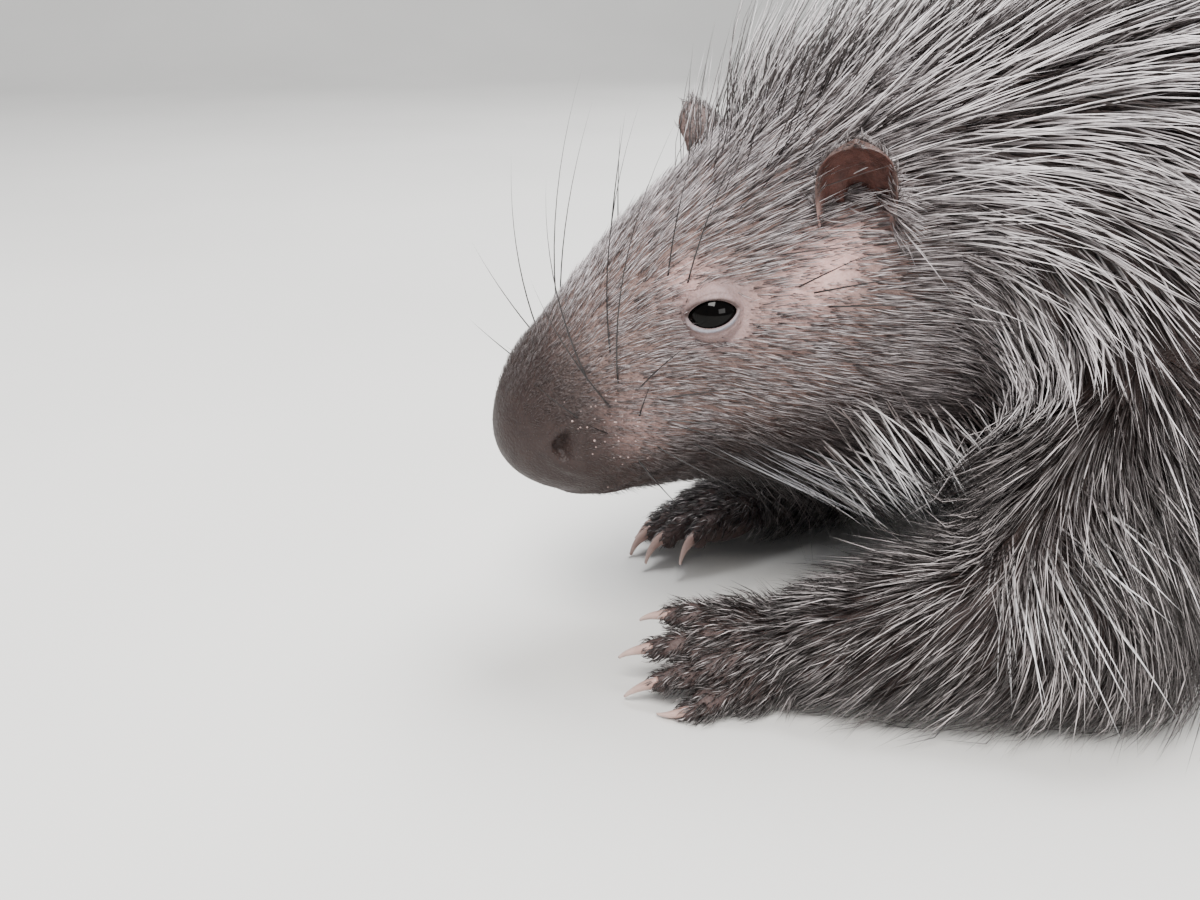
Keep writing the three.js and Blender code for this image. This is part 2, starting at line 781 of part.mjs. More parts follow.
// Direction of the coat: steps back and around the body for each mm along a hair
function lie(s, a, droop) {
  const down = droop * DEG * Math.sin(Math.min(Math.abs(a), 100) * 0.9 * DEG);
  return { back: Math.cos(down), around: (Math.sign(a) * Math.sin(down)) / girthRadius(s) / DEG };
}

function locksOn(region, limbs, random, margin = 0) {
  const locks = [];
  for (const { s, a, share } of field(region, region.wide * 0.92, random)) {
    const long = THREE.MathUtils.lerp(...region.long, share) * (1 + jitter(random, 0.1));
    const rise = region.rise * (1 + jitter(random, 0.15));
    const { back, around } = lie(s, a, DROOP + jitter(random, 4));
    if (limbs.some((rows) => outsideLimb(bodyPoint(s, a), rows).clear < LOCK.thick)) continue;
    const places = [0, 0.36, 0.72, 1].map((t) => [s + back * long * t, a + around * long * t, t]);
    const points = places.map(([x, angle, t]) => {
      const at = bodyPoint(x, angle, -LOCK.sunk + (rise + LOCK.sunk) * t ** 0.85);
      return t > 0 ? clearOfLimbs(at, limbs, LOCK.thick + region.over) : at;
    });
    points[0].add(points[0].clone().sub(points[1]).setLength(6 * margin));
    points[3].add(points[3].clone().sub(points[2]).setLength(6 * margin));
    const normals = places.map(([x, angle]) => bodyNormal(x, angle));
    locks.push(lock(points, normals, region.wide + 8 * margin, LOCK.thick + 6 * margin));
  }
  return locks;
}

function quillsOn(random) {
  const quills = [];
  for (const { s, a, share } of field(QUILLS, QUILLS.apart, random)) {
    const long = THREE.MathUtils.lerp(...QUILLS.long, share ** 0.8) * (1 + jitter(random, 0.08));
    const lift = (THREE.MathUtils.lerp(...QUILLS.lift, share) + jitter(random, 4)) * DEG;
    const root = bodyPoint(s, a, -QUILL.sunk);
    const skin = bodyPoint(s, a);
    const { back, around } = lie(s, a, QUILL.droop);
    const way = bodyPoint(s + back * 10, a + around * 10).sub(skin).normalize();
    const stand = bodyNormal(s, a);
    way.multiplyScalar(Math.cos(lift)).addScaledVector(stand, Math.sin(lift));
    way.y += jitter(random, QUILL.stray);
    quills.push(spine(root, skin.addScaledVector(way.normalize(), long), QUILL.thick));
  }
  return quills;
}

const legs = [foreleg(FORELEG.left), foreleg(FORELEG.right), hindleg(-1), hindleg(1)];
const legRoom = join(legs.map((leg) => leg.grown));
const limbRows = legs.flatMap((leg) => leg.rows);

const neckLocks = (margin) => locksOn(COAT.neck, limbRows, seeded(LOCK.seed), margin);

function makeNeck() {
  const core = bodyLength(HEAD_LENGTH + GAP, NECK_END, 5, 24);
  const locks = neckLocks();
  return largest(join([core, ...locks]).subtract(legRoom));
}

function makeTorso() {
  const random = seeded(LOCK.seed + 1);
  const core = bodyLength(NECK_END + GAP, BODY_END - 0.05, 16, 20);
  const coat = [COAT.shoulder, COAT.flank].flatMap((region) => locksOn(region, limbRows, random));
  const quills = quillsOn(seeded(QUILL.seed));
  const room = join([legRoom, makeTail(GAP), FLOOR_CUT, ...neckLocks(GAP)]);
  return largest(join([core, ...coat, ...quills]).subtract(room));
}

function makeTail(margin = 0) {
  const random = seeded(RATTLE.seed);
  const root = new THREE.Vector3(...TAIL.root);
  const tip = new THREE.Vector3(...TAIL.tip);
  const back = tip.clone().sub(root).normalize();
  const side = new THREE.Vector3(0, 1, 0);
  const lift = side.clone().cross(back);
  const pieces = [
    limb([
      [...TAIL.root, TAIL.thick + margin],
      [...TAIL.tip, TAIL.thin + margin],
    ]),
  ];
  for (let row = 0; row < RATTLE.rows; row++)
    for (let i = 0; i < RATTLE.around; i++) {
      const turn = ((i + row / 2) / RATTLE.around) * 360 + jitter(random, 8);
      const out = side.clone().multiplyScalar(Math.cos(turn * DEG));
      out.addScaledVector(lift, Math.sin(turn * DEG));
      const at = root.clone().lerp(tip, 0.62 + (0.38 * row) / (RATTLE.rows - 1));
      const start = at.clone().addScaledVector(out, TAIL.thin * 0.6);
      const end = start.clone().addScaledVector(back, RATTLE.long).addScaledVector(out, RATTLE.long * 0.3);
      end.z = Math.max(end.z, RATTLE.thick);
      pieces.push(rattle(start, end, RATTLE.thick + 2 * margin));
    }
  return largest(join(pieces).subtract(FLOOR_CUT));
}

// Hollow-looking rattle quill: a thin stalk that widens to a blunt end
function rattle(start, end, thick) {
  const ahead = end.clone().sub(start).normalize();
  const side = new THREE.Vector3(0, 0, 1).cross(ahead).normalize();
  const lift = ahead.clone().cross(side);
  const rings = [
    [0, 0.35],
    [0.4, 0.5],
    [0.62, 1],
    [1, 0.85],
  ].map(([t, share]) => circle(start.clone().lerp(end, t), side, lift, (thick / 2) * share, 4));
  return solidFromRings(rings);
}

addNode("head", largest(makeHead()), "skin");
addNode("ear_left", makeEar(1), "skin");
addNode("ear_right", makeEar(-1), "skin");
addNode("eye_left", eyeBall(eyeFrame(1)), "eye");
addNode("eye_right", eyeBall(eyeFrame(-1)), "eye");
addNode("neck", makeNeck(), "coat");
addNode("torso", makeTorso(), "coat");
addNode("tail", makeTail(), "quills");
for (const leg of legs) leg.add();

// The frame's origin is under the middle of the model, on the floor
const box = new THREE.Box3().setFromObject(animal);
animal.position.set(-(box.min.x + box.max.x) / 2, -(box.min.y + box.max.y) / 2, -box.min.z);

export default animal;
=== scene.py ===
# The visible model of an adult Malayan porcupine: one skin, glossy eyes, claws, and a coat of
# fur, bristles, whiskers and quills, all as closed meshes. Metres, +Z up, nose to -X, left to -Y.

import math
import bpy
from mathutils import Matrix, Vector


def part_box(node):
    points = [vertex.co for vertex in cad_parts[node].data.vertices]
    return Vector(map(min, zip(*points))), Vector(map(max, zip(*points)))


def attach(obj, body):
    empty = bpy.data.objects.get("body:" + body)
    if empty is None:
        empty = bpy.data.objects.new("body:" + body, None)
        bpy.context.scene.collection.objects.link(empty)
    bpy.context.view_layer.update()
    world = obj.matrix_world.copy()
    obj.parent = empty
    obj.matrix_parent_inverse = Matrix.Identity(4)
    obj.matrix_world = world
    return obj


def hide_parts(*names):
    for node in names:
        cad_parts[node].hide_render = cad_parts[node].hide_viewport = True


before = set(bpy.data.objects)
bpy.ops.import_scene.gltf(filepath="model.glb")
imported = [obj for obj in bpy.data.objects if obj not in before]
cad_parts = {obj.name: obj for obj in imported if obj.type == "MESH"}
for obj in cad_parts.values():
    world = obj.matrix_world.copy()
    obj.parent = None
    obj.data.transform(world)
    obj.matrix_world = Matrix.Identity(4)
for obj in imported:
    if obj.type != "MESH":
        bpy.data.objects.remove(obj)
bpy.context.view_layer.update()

from types import SimpleNamespace

import bpy
import numpy as np
import openvdb
from mathutils import Vector
from mathutils.bvhtree import BVHTree

# The body's measures, the same as the solids have. Stations run along the spine from the nose tip,
# angles run round it from the top in degrees, positive to the animal's left.
NOSE = np.array([0.001, -0.014, 0.080])
HEAD_TILT = 25.0
HEAD_TURN = 6.0
BODY_END = 0.682
MUZZLE_ROUND = 0.024
RUMP_ROUND = 0.092
SECTION_POWER = 2.15

# Head sections: station, place along the head's axis, half width, height above it and depth below
HEAD = [
    (0.000, -0.007, 0.0240, 0.0225, 0.0225),
    (0.020, 0.0165, 0.0275, 0.0285, 0.0280),
    (0.038, 0.037, 0.0310, 0.0360, 0.0365),
    (0.055, 0.055, 0.0355, 0.0430, 0.0450),
    (0.071, 0.071, 0.0415, 0.0480, 0.0560),
    (0.098, 0.098, 0.0490, 0.0545, 0.0710),
    (0.119, 0.119, 0.0540, 0.0575, 0.0830),
    (0.142, 0.142, 0.0600, 0.0590, 0.0950),
]

# Trunk sections: station, x, z, tilt of the section, half width, height above and depth below
TRUNK = [
    (0.178, 0.165, 0.146, 19, 0.073, 0.062, 0.108),
    (0.216, 0.202, 0.138, 12, 0.085, 0.078, 0.115),
    (0.276, 0.262, 0.124, 6, 0.095, 0.093, 0.112),
    (0.356, 0.342, 0.117, 2, 0.101, 0.104, 0.102),
    (0.446, 0.432, 0.118, 0, 0.104, 0.112, 0.102),
    (0.526, 0.512, 0.116, -5, 0.101, 0.112, 0.097),
    (0.596, 0.582, 0.103, -14, 0.088, 0.098, 0.080),
    (0.648, 0.633, 0.088, -22, 0.071, 0.078, 0.062),
    (0.682, 0.664, 0.075, -26, 0.060, 0.062, 0.052),
]

# Swellings and hollows of the head: station, angle, reach along, reach in degrees, height
RELIEF = [
    (0.030, 98, 0.015, 30, 0.0022),
    (0.067, 65, 0.013, 17, -0.0022),
    (0.070, 42, 0.016, 13, 0.0018),
    (0.104, 108, 0.026, 34, 0.0035),
]

EYE_STATION, EYE_ANGLE, EYE_RADIUS, EYE_UNDER = 0.068, 63.0, 0.0088, 0.0035
EYE_WIDE, EYE_HIGH, EYE_SLANT = 0.0078, 0.0046, -20.0
LID = 0.0010
# The head's radius beside the eyes
FACE_RADIUS = 0.043

EAR_STATION, EAR_ANGLE, EAR_HIGH, EAR_WIDE, EAR_CUP, EAR_WALL, EAR_ROOT = (
    0.115, 71.0, 0.033, 0.0120, 0.009, 0.0019, 0.009)

NOSTRIL_STATION, NOSTRIL_ANGLE = 0.014, 83.0
NOSTRIL_LONG, NOSTRIL_WIDE, NOSTRIL_DEEP, NOSTRIL_RIM = 0.0043, 0.0023, 0.0042, 0.0012
MOUTH_FRONT, MOUTH_CORNER, MOUTH_CORNER_ANGLE = 0.009, 0.041, 124.0
MOUTH_WIDE, MOUTH_DEEP, LIP_HIGH = 0.0009, 0.0030, 0.0012

# Limbs as rows of x, distance from the middle plane, z and radius
FORELEGS = {
    "left": dict(
        side=-1,
        upper=[(0.232, 0.052, 0.114, 0.038), (0.205, 0.069, 0.080, 0.040), (0.168, 0.083, 0.046, 0.033)],
        lower=[(0.176, 0.086, 0.031, 0.032), (0.136, 0.078, 0.026, 0.026), (0.092, 0.066, 0.0195, 0.0185)],
        at=(0.065, 0.058, 0.0155), ahead=(-1, 0.10, -0.02), roll=38),
    "right": dict(
        side=1,
        upper=[(0.240, 0.052, 0.114, 0.038), (0.222, 0.069, 0.079, 0.039), (0.192, 0.085, 0.045, 0.032)],
        lower=[(0.198, 0.087, 0.030, 0.030), (0.158, 0.080, 0.023, 0.024), (0.120, 0.062, 0.0165, 0.0165)],
        at=(0.095, 0.052, 0.013), ahead=(-1, 0.22, -0.02), roll=12),
}
HINDLEG = dict(
    upper=[(0.528, 0.052, 0.096, 0.044), (0.494, 0.072, 0.070, 0.047), (0.456, 0.086, 0.045, 0.034)],
    lower=[(0.456, 0.086, 0.042, 0.032), (0.496, 0.094, 0.024, 0.022), (0.532, 0.094, 0.015, 0.0165)],
    at=(0.470, 0.099, 0.0095), heel=(0.536, 0.095, 0.012), ahead=(-1, -0.06, 0.0), roll=0)
PAW = dict(half_long=0.020, half_wide=0.0185, half_thick=0.011, digits=4, digit_long=0.017,
           digit_radius=0.005, fan=16)
FOOT = dict(half_long=0.024, half_wide=0.019, half_thick=0.011, digits=5, digit_long=0.017,
            digit_radius=0.005, fan=11)
CLAW_LONG, CLAW_RADIUS, CLAW_TIP, CLAW_BEND = 0.012, 0.0031, 0.0006, 34.0
TAIL_ROOT, TAIL_TIP, TAIL_THICK, TAIL_THIN = (0.648, 0, 0.084), (0.722, 0, 0.042), 0.025, 0.012

# How far the skin lies inside the solids where the coat is thick
COAT_DEPTH = 0.0025
LEG_DEPTH = 0.0020

SEED = 11
rng = np.random.default_rng(SEED)


# Small helpers

def smooth(x, low, high):
    t = np.clip((np.asarray(x, float) - low) / (high - low), 0, 1)
    return t * t * (3 - 2 * t)


def unit(v):
    return v / np.maximum(np.linalg.norm(v, axis=-1, keepdims=True), 1e-12)


def mix(a, b, t):
    return a + (b - a) * t


def between(x, low, full, less, gone):
    """1 from the second bound to the third, 0 before the first and after the last."""
    return smooth(x, low, full) * (1 - smooth(x, less, gone))


def groove(distance, width):
    """A bell curve: 1 at no distance, fading over the width."""
    return np.exp(-((distance / width) ** 2))


def spot(s, angle, station, middle, reach, spread):
    """A bell curve round a place on the body, given by station and angle."""
    return groove(np.hypot((s - station) / reach, (angle - middle) / spread), 1)


def from_eye(s, turn, radius=FACE_RADIUS):
    """Distance over the skin from the middle of an eye."""
    return np.hypot(s - EYE_STATION, np.radians(turn - EYE_ANGLE) * radius)


def circle(turn, across, up):
    """Directions at turns round a circle through two axes."""
    return np.cos(turn)[:, None] * across + np.sin(turn)[:, None] * up


def hashed(cells, salt):
    """A repeatable number between 0 and 1 for each row of whole numbers."""
    waves = cells[..., 0] * 127.1 + cells[..., 1] * 311.7 + cells[..., 2] * 74.7 + salt * 53.3
    return np.modf(np.abs(np.sin(waves) * 43758.5453))[0]


def along(table, column, place):
    """Smooth curve through the rows of a table that never overshoots."""
    x, y = table[:, 0], table[:, column]
    slope = np.diff(y) / np.diff(x)
    a, b = slope[:-1], slope[1:]
    inner = np.where(a * b <= 0, 0.0, 2 * a * b / np.where(a + b == 0, 1, a + b))
    tangent = np.concatenate(([slope[0]], inner, [slope[-1]]))
    place = np.clip(place, x[0], x[-1])
    i = np.clip(np.searchsorted(x, place) - 1, 0, len(x) - 2)
    h = x[i + 1] - x[i]
    t = (place - x[i]) / h
    return ((2 * t**3 - 3 * t**2 + 1) * y[i] + (t**3 - 2 * t**2 + t) * h * tangent[i]
            + (3 * t**2 - 2 * t**3) * y[i + 1] + (t**3 - t**2) * h * tangent[i + 1])


def spine_table():
    tilt, turn = math.radians(HEAD_TILT), math.radians(HEAD_TURN)
    ahead = np.array([math.cos(tilt) * math.cos(turn), math.cos(tilt) * math.sin(turn), math.sin(tilt)])
    head = [(s, *(NOSE + place * ahead), HEAD_TILT, HEAD_TURN, w, u, d) for s, place, w, u, d in HEAD]
    trunk = [(s, x, 0.0, z, t, 0.0, w, u, d) for s, x, z, t, w, u, d in TRUNK]
    return np.array(head + trunk, float)


SPINE = spine_table()


def bluntness(share):
    return np.sqrt(np.maximum(0, 1 - (1 - np.minimum(1, share)) ** 2))


def section(s):
    """Middle, axes and half sizes of the section at each station."""
    s = np.asarray(s, float)
    tilt, turn = np.radians(along(SPINE, 4, s)), np.radians(along(SPINE, 5, s))
    ct, st, cu, su = np.cos(tilt), np.sin(tilt), np.cos(turn), np.sin(turn)
    round_ = bluntness(s / MUZZLE_ROUND) * bluntness((BODY_END - s) / RUMP_ROUND)
    middle = np.stack([along(SPINE, c, s) for c in (1, 2, 3)], -1)
    back = np.stack([ct * cu, ct * su, st], -1)
    up = np.stack([-st * cu, -st * su, ct], -1)
    left = np.stack([su, -cu, np.zeros_like(su)], -1)
    wide, high, low = (along(SPINE, c, s) * round_ for c in (6, 7, 8))
    return middle, back, up, left, wide, high, low


def relief(s, angle):
    total = np.zeros(np.broadcast(s, angle).shape)
    for at, turn, reach, spread, height in RELIEF:
        total += height * np.exp(-(((s - at) / reach) ** 2 + ((np.abs(angle) - turn) / spread) ** 2))
    return total


def body_point(s, angle, lift=0.0):
    """Points of the body at stations and angles, lifted outward."""
    s, angle, lift = np.broadcast_arrays(np.asarray(s, float), angle, lift)
    middle, _, up, left, wide, high, low = section(s)
    side, rise = np.sin(np.radians(angle)), np.cos(np.radians(angle))
    half = np.where(rise > 0, high, low)
    power = 2 / SECTION_POWER
    x = wide * np.sign(side) * np.abs(side) ** power
    y = half * np.sign(rise) * np.abs(rise) ** power
    nx, ny = side / np.maximum(wide, 0.001), rise / np.maximum(half, 0.001)
    out = (lift + relief(s, angle)) / np.hypot(nx, ny)
    return middle + left * (x + nx * out)[..., None] + up * (y + ny * out)[..., None]


def body_axes(s, angle, lift=0.0):
    """Unit directions at places of the body: towards the tail, round it, and outward."""
    step, turn = 0.002, 2.0
    ahead = unit(body_point(s + step, angle, lift) - body_point(s - step, angle, lift))
    around = unit(body_point(s, angle + turn, lift) - body_point(s, angle - turn, lift))
    return ahead, around, unit(-np.cross(ahead, around))


def body_place(points):
    """Station, angle and height over the body's surface of points near it."""
    stations = np.linspace(0.0005, BODY_END - 0.0005, 240)
    middle, back = section(stations)[:2]
    offset = np.sum(middle * back, 1)
    s = np.empty(len(points))
    for start in range(0, len(points), 20000):
        part = points[start:start + 20000]
        ahead = part @ back.T - offset
        i = np.clip(np.argmin(np.abs(ahead), 1), 0, len(stations) - 1)
        s[start:start + 20000] = stations[i] + ahead[np.arange(len(part)), i]
    s = np.clip(s, 0.0005, BODY_END - 0.0005)
    middle, _, up, left, wide, high, low = section(s)
    v = points - middle
    x, y = np.sum(v * left, 1), np.sum(v * up, 1)
    half = np.maximum(np.where(y > 0, high, low), 0.001)
    power = SECTION_POWER / 2
    side = np.sign(x) * np.abs(x / np.maximum(wide, 0.001)) ** power
    rise = np.sign(y) * np.abs(y / half) ** power
    angle = np.degrees(np.arctan2(side, rise))
    lift = np.linalg.norm(v, axis=1) - np.linalg.norm(body_point(s, angle) - middle, axis=1)
    return s, angle, lift


def eye_frame(side):
    """Middle of an eyeball, its outward axis, and the axes across and up of the opening."""
    s, a = np.array(EYE_STATION), np.array(EYE_ANGLE * side)
    ahead, _, normal = body_axes(s, a)
    middle = body_point(s, a) - normal * EYE_UNDER
    back = unit(ahead - normal * (ahead @ normal))
    up = unit(np.cross(back, normal) * -side)
    up = up if up[2] > 0 else -up
    turn = math.radians(EYE_SLANT)
    across = back * math.cos(turn) + up * math.sin(turn)
    return middle, normal, across, up * math.cos(turn) - back * math.sin(turn)


# The frame stands a little aside of the body's own measures: this is the way between them
SHIFT = np.array([sum(c) / 2 for c in zip(*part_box("eye_left"))]) - eye_frame(1)[0]


# Materials

def nodes_of(name):
    material = bpy.data.materials.new(name)
    material.use_nodes = True
    tree = material.node_tree
    return material, tree, tree.nodes["Principled BSDF"]


def add(tree, kind, inputs=None, **settings):
    node = tree.nodes.new(kind)
    for key, value in settings.items():
        setattr(node, key, value)
    for key, value in (inputs or {}).items():
        if isinstance(value, bpy.types.NodeSocket):
            tree.links.new(value, node.inputs[key])
        else:
            node.inputs[key].default_value = value
    return node


def noise(tree, scale, detail=4.0, rough=0.55, stretch=None):
    place = add(tree, "ShaderNodeTexCoord").outputs["Object"]
    if stretch:
        place = add(tree, "ShaderNodeMapping", {"Vector": place, "Scale": stretch}).outputs["Vector"]
    return add(tree, "ShaderNodeTexNoise", {"Vector": place, "Scale": scale, "Detail": detail,
                                            "Roughness": rough}).outputs["Fac"]


def ramp(tree, fac, stops):
    node = add(tree, "ShaderNodeValToRGB", {"Fac": fac})
    line = node.color_ramp
    while len(line.elements) < len(stops):
        line.elements.new(0.5)
    for element, (place, colour) in zip(line.elements, stops):
        element.position = place
        element.color = (*colour, 1.0)
    return node.outputs["Color"]


def blend_colours(tree, fac, a, b, mode="MIX"):
    node = add(tree, "ShaderNodeMix", data_type="RGBA", blend_type=mode)
    for socket, value in ((node.inputs[0], fac), (node.inputs[6], a), (node.inputs[7], b)):
        if isinstance(value, bpy.types.NodeSocket):
            tree.links.new(value, socket)
        else:
            socket.default_value = value if isinstance(value, float) else (*value, 1.0)
    return node.outputs[2]


def attribute(tree, name):
    return add(tree, "ShaderNodeAttribute", attribute_name=name).outputs["Fac"]


def bump(tree, height, distance, strength, under=None):
    inputs = {"Height": height, "Distance": distance, "Strength": strength}
    if under:
        inputs["Normal"] = under
    return add(tree, "ShaderNodeBump", inputs).outputs["Normal"]


def to_range(tree, value, low, high):
    return add(tree, "ShaderNodeMapRange", {"Value": value, "To Min": low, "To Max": high}).outputs["Result"]


def connect(tree, shader, colour, rough, normal=None):
    """Gives a shader its colour, roughness and normal."""
    for name, value in (("Base Color", colour), ("Roughness", rough), ("Normal", normal)):
        if value is not None:
            tree.links.new(value, shader.inputs[name])


SKIN_DARK = (0.021, 0.0135, 0.0125)
SKIN_BROWN = (0.170, 0.112, 0.100)
SKIN_PINK, PINK_SHADE = (0.66, 0.43, 0.40), (0.42, 0.25, 0.23)
SKIN_LILAC, LILAC_SHADE = (0.33, 0.25, 0.26), (0.20, 0.145, 0.145)
EAR_RED, EAR_SHADE = (0.090, 0.038, 0.031), (0.030, 0.012, 0.010)
LID_RIM = (0.20, 0.20, 0.23)


def skin_material():
    """Skin: brown-grey, near black on the nose, pink and lilac on the bare places of the face."""
    material, tree, shader = nodes_of("skin_warm")
    layers = [
        ("brown", SKIN_BROWN),
        ("lilac", ramp(tree, noise(tree, 420, 3), [(0.3, LILAC_SHADE), (0.75, SKIN_LILAC)])),
        ("pink", ramp(tree, noise(tree, 520, 4), [(0.25, PINK_SHADE), (0.7, SKIN_PINK)])),
        ("dark", SKIN_DARK),
        ("ear", ramp(tree, noise(tree, 300, 3), [(0.3, EAR_SHADE), (0.75, EAR_RED)])),
        ("rim", LID_RIM),
    ]
    colour = ramp(tree, noise(tree, 160, 5), [(0.3, SKIN_DARK), (0.7, SKIN_BROWN)])
    for name, value in layers:
        colour = blend_colours(tree, attribute(tree, name), colour, value)
    pores = add(tree, "ShaderNodeTexVoronoi", {"Vector": add(tree, "ShaderNodeTexCoord").outputs["Object"],
                                               "Scale": 1100.0}).outputs["Distance"]
    normal = bump(tree, noise(tree, 240, 6), 0.0010, 0.5, bump(tree, pores, 0.0004, 0.6))
    connect(tree, shader, colour, to_range(tree, noise(tree, 300, 3), 0.42, 0.7), normal)
    shader.inputs["Specular IOR Level"].default_value = 0.22
    shader.inputs["Subsurface Weight"].default_value = 0.08
    shader.inputs["Subsurface Radius"].default_value = (0.004, 0.002, 0.001)
    return material


def coat_material(name, root, dark, pale, tip, rough):
    """Hair that runs from its root colour to a dark or pale shaft, as each hair's tone says."""
    material, tree, shader = nodes_of(name)
    place = attribute(tree, "along")
    low_shaft = tuple(mix(np.array(root), np.array(pale), 0.45))
    dark_hair = ramp(tree, place, [(0.0, root), (0.35, dark), (1.0, dark)])
    pale_hair = ramp(tree, place, [(0.0, root), (0.3, low_shaft), (0.62, pale), (1.0, tip)])
    colour = blend_colours(tree, attribute(tree, "pale"), dark_hair, pale_hair)
    mottle = ramp(tree, noise(tree, 900, 3), [(0.3, (0.72, 0.70, 0.70)), (0.7, (1.1, 1.1, 1.12))])
    colour = blend_colours(tree, 1.0, colour, mottle, "MULTIPLY")
    gloss = to_range(tree, noise(tree, 700, 2), rough - 0.08, rough + 0.12)
    connect(tree, shader, colour, gloss, bump(tree, noise(tree, 2600, 2), 0.00012, 0.3))
    return material


def eye_material():
    material, tree, shader = nodes_of("eye_dark")
    tint = ramp(tree, noise(tree, 600, 3), [(0.3, (0.0004, 0.0003, 0.0003)), (0.8, (0.0016, 0.0010, 0.0008))])
    connect(tree, shader, tint, to_range(tree, noise(tree, 90, 2), 0.03, 0.07))
    shader.inputs["Specular IOR Level"].default_value = 0.10
    return material


def claw_material():
    material, tree, shader = nodes_of("claw_horn")
    streaks = noise(tree, 260, 4, stretch=(0.25, 1, 1))
    horn = ramp(tree, streaks, [(0.25, (0.20, 0.105, 0.085)), (0.75, (0.42, 0.27, 0.235))])
    colour = blend_colours(tree, attribute(tree, "along"), horn, (0.50, 0.36, 0.32))
    connect(tree, shader, colour, to_range(tree, streaks, 0.28, 0.5), bump(tree, streaks, 0.0004, 0.3))
    return material


def quill_material():
    """Quills: white at the root, a dark band over the middle, white again at the tip."""
    material, tree, shader = nodes_of("quill_banded")
    wobble = add(tree, "ShaderNodeMath", {0: noise(tree, 60, 2), 1: 0.12}, operation="MULTIPLY").outputs[0]
    place = add(tree, "ShaderNodeMath", {0: attribute(tree, "along"), 1: wobble}, operation="ADD").outputs[0]
    cream, band = (0.62, 0.56, 0.47), (0.020, 0.014, 0.012)
    shaft = ramp(tree, place, [(0.36, cream), (0.46, band), (0.80, band), (0.88, cream)])
    colour = blend_colours(tree, attribute(tree, "pale"), shaft, (0.72, 0.68, 0.60))
    ribs = noise(tree, 1500, 3, stretch=(0.1, 1, 1))
    connect(tree, shader, colour, to_range(tree, ribs, 0.25, 0.45), bump(tree, ribs, 0.0003, 0.35))
    return material


def follicle_material():
    material, tree, shader = nodes_of("follicle_pale")
    tint = ramp(tree, noise(tree, 800, 3), [(0.3, (0.25, 0.17, 0.155)), (0.7, (0.40, 0.30, 0.28))])
    connect(tree, shader, tint, to_range(tree, noise(tree, 500, 2), 0.3, 0.5))
    return material


# Meshes

def add_object(name, data):
    thing = bpy.data.objects.new(name, data)
    bpy.context.scene.collection.objects.link(thing)
    return thing


def smooth_shading(mesh):
    mesh.polygons.foreach_set("use_smooth", np.ones(len(mesh.polygons), bool))


def mesh_object(name, points, faces, material=None):
    """Object from an array of points and one of triangles."""
    mesh = bpy.data.meshes.new(name)
    mesh.vertices.add(len(points))
    mesh.vertices.foreach_set("co", np.asarray(points, np.float32).ravel())
    mesh.loops.add(faces.size)
    mesh.loops.foreach_set("vertex_index", faces.astype(np.int32).ravel())
    mesh.polygons.add(len(faces))
    mesh.polygons.foreach_set("loop_start", np.arange(len(faces), dtype=np.int32) * 3)
    smooth_shading(mesh)
    mesh.update()
    mesh.validate()
    if material:
        mesh.materials.append(material)
    return add_object(name, mesh)


def set_attribute(piece, name, values):
    layer = piece.data.attributes.new(name, "FLOAT", "POINT")
    layer.data.foreach_set("value", np.asarray(values, np.float32).ravel())


def tube_faces(rings, sides):
    """Faces of four corners between rings of points."""
    i, j = np.meshgrid(np.arange(rings - 1), np.arange(sides), indexing="ij")
    a = i * sides + j
    b = i * sides + (j + 1) % sides
    return np.stack([a, b, b + sides, a + sides], -1).reshape(-1, 4)


def halves(quads):
    """Two triangles for each face of four corners."""
    return np.concatenate([quads[:, [0, 1, 2]], quads[:, [0, 2, 3]]])


def closed_tube(rings):
    """Points and triangles of a tube through rings, closed to a point at both ends."""
    count, sides = rings.shape[:2]
    j = np.arange(sides)
    first, last = count * sides, count * sides + 1
    lid = np.stack([(j + 1) % sides, j, np.full(sides, first)], -1)
    end = (count - 1) * sides
    tip = np.stack([end + j, end + (j + 1) % sides, np.full(sides, last)], -1)
    points = np.concatenate([rings.reshape(-1, 3), [rings[0].mean(0)], [rings[-1].mean(0)]])
    faces = np.concatenate([halves(tube_faces(count, sides)), lid, tip])
    return points, outward(points, faces)


def outward(points, faces):
    """The triangles turned so that the solid's volume is positive."""
    a, b, c = (points[faces[:, k]] for k in range(3))
    return faces if np.sum(a * np.cross(b, c)) > 0 else faces[:, ::-1]


def read_mesh(piece):
    """Points, triangles and point normals of an object."""
    mesh = piece.data
    points = np.empty(len(mesh.vertices) * 3, np.float32)
    mesh.vertices.foreach_get("co", points)
    mesh.calc_loop_triangles()
    triangles = np.empty(len(mesh.loop_triangles) * 3, np.int32)
    mesh.loop_triangles.foreach_get("vertices", triangles)
    normals = np.empty(len(mesh.vertices) * 3, np.float32)
    mesh.vertices.foreach_get("normal", normals)
    points, normals = (values.reshape(-1, 3).astype(float) for values in (points, normals))
    return points, triangles.reshape(-1, 3), normals


# Skin

def mouth_angle(s):
    """Angle of the mouth's line at a station between its front and its corner."""
    t = np.clip((s - MOUTH_FRONT) / (MOUTH_CORNER - MOUTH_FRONT), 0, 1) ** (1 / 1.4)
    return 180 - (180 - MOUTH_CORNER_ANGLE) * np.sin(t * math.pi / 2)


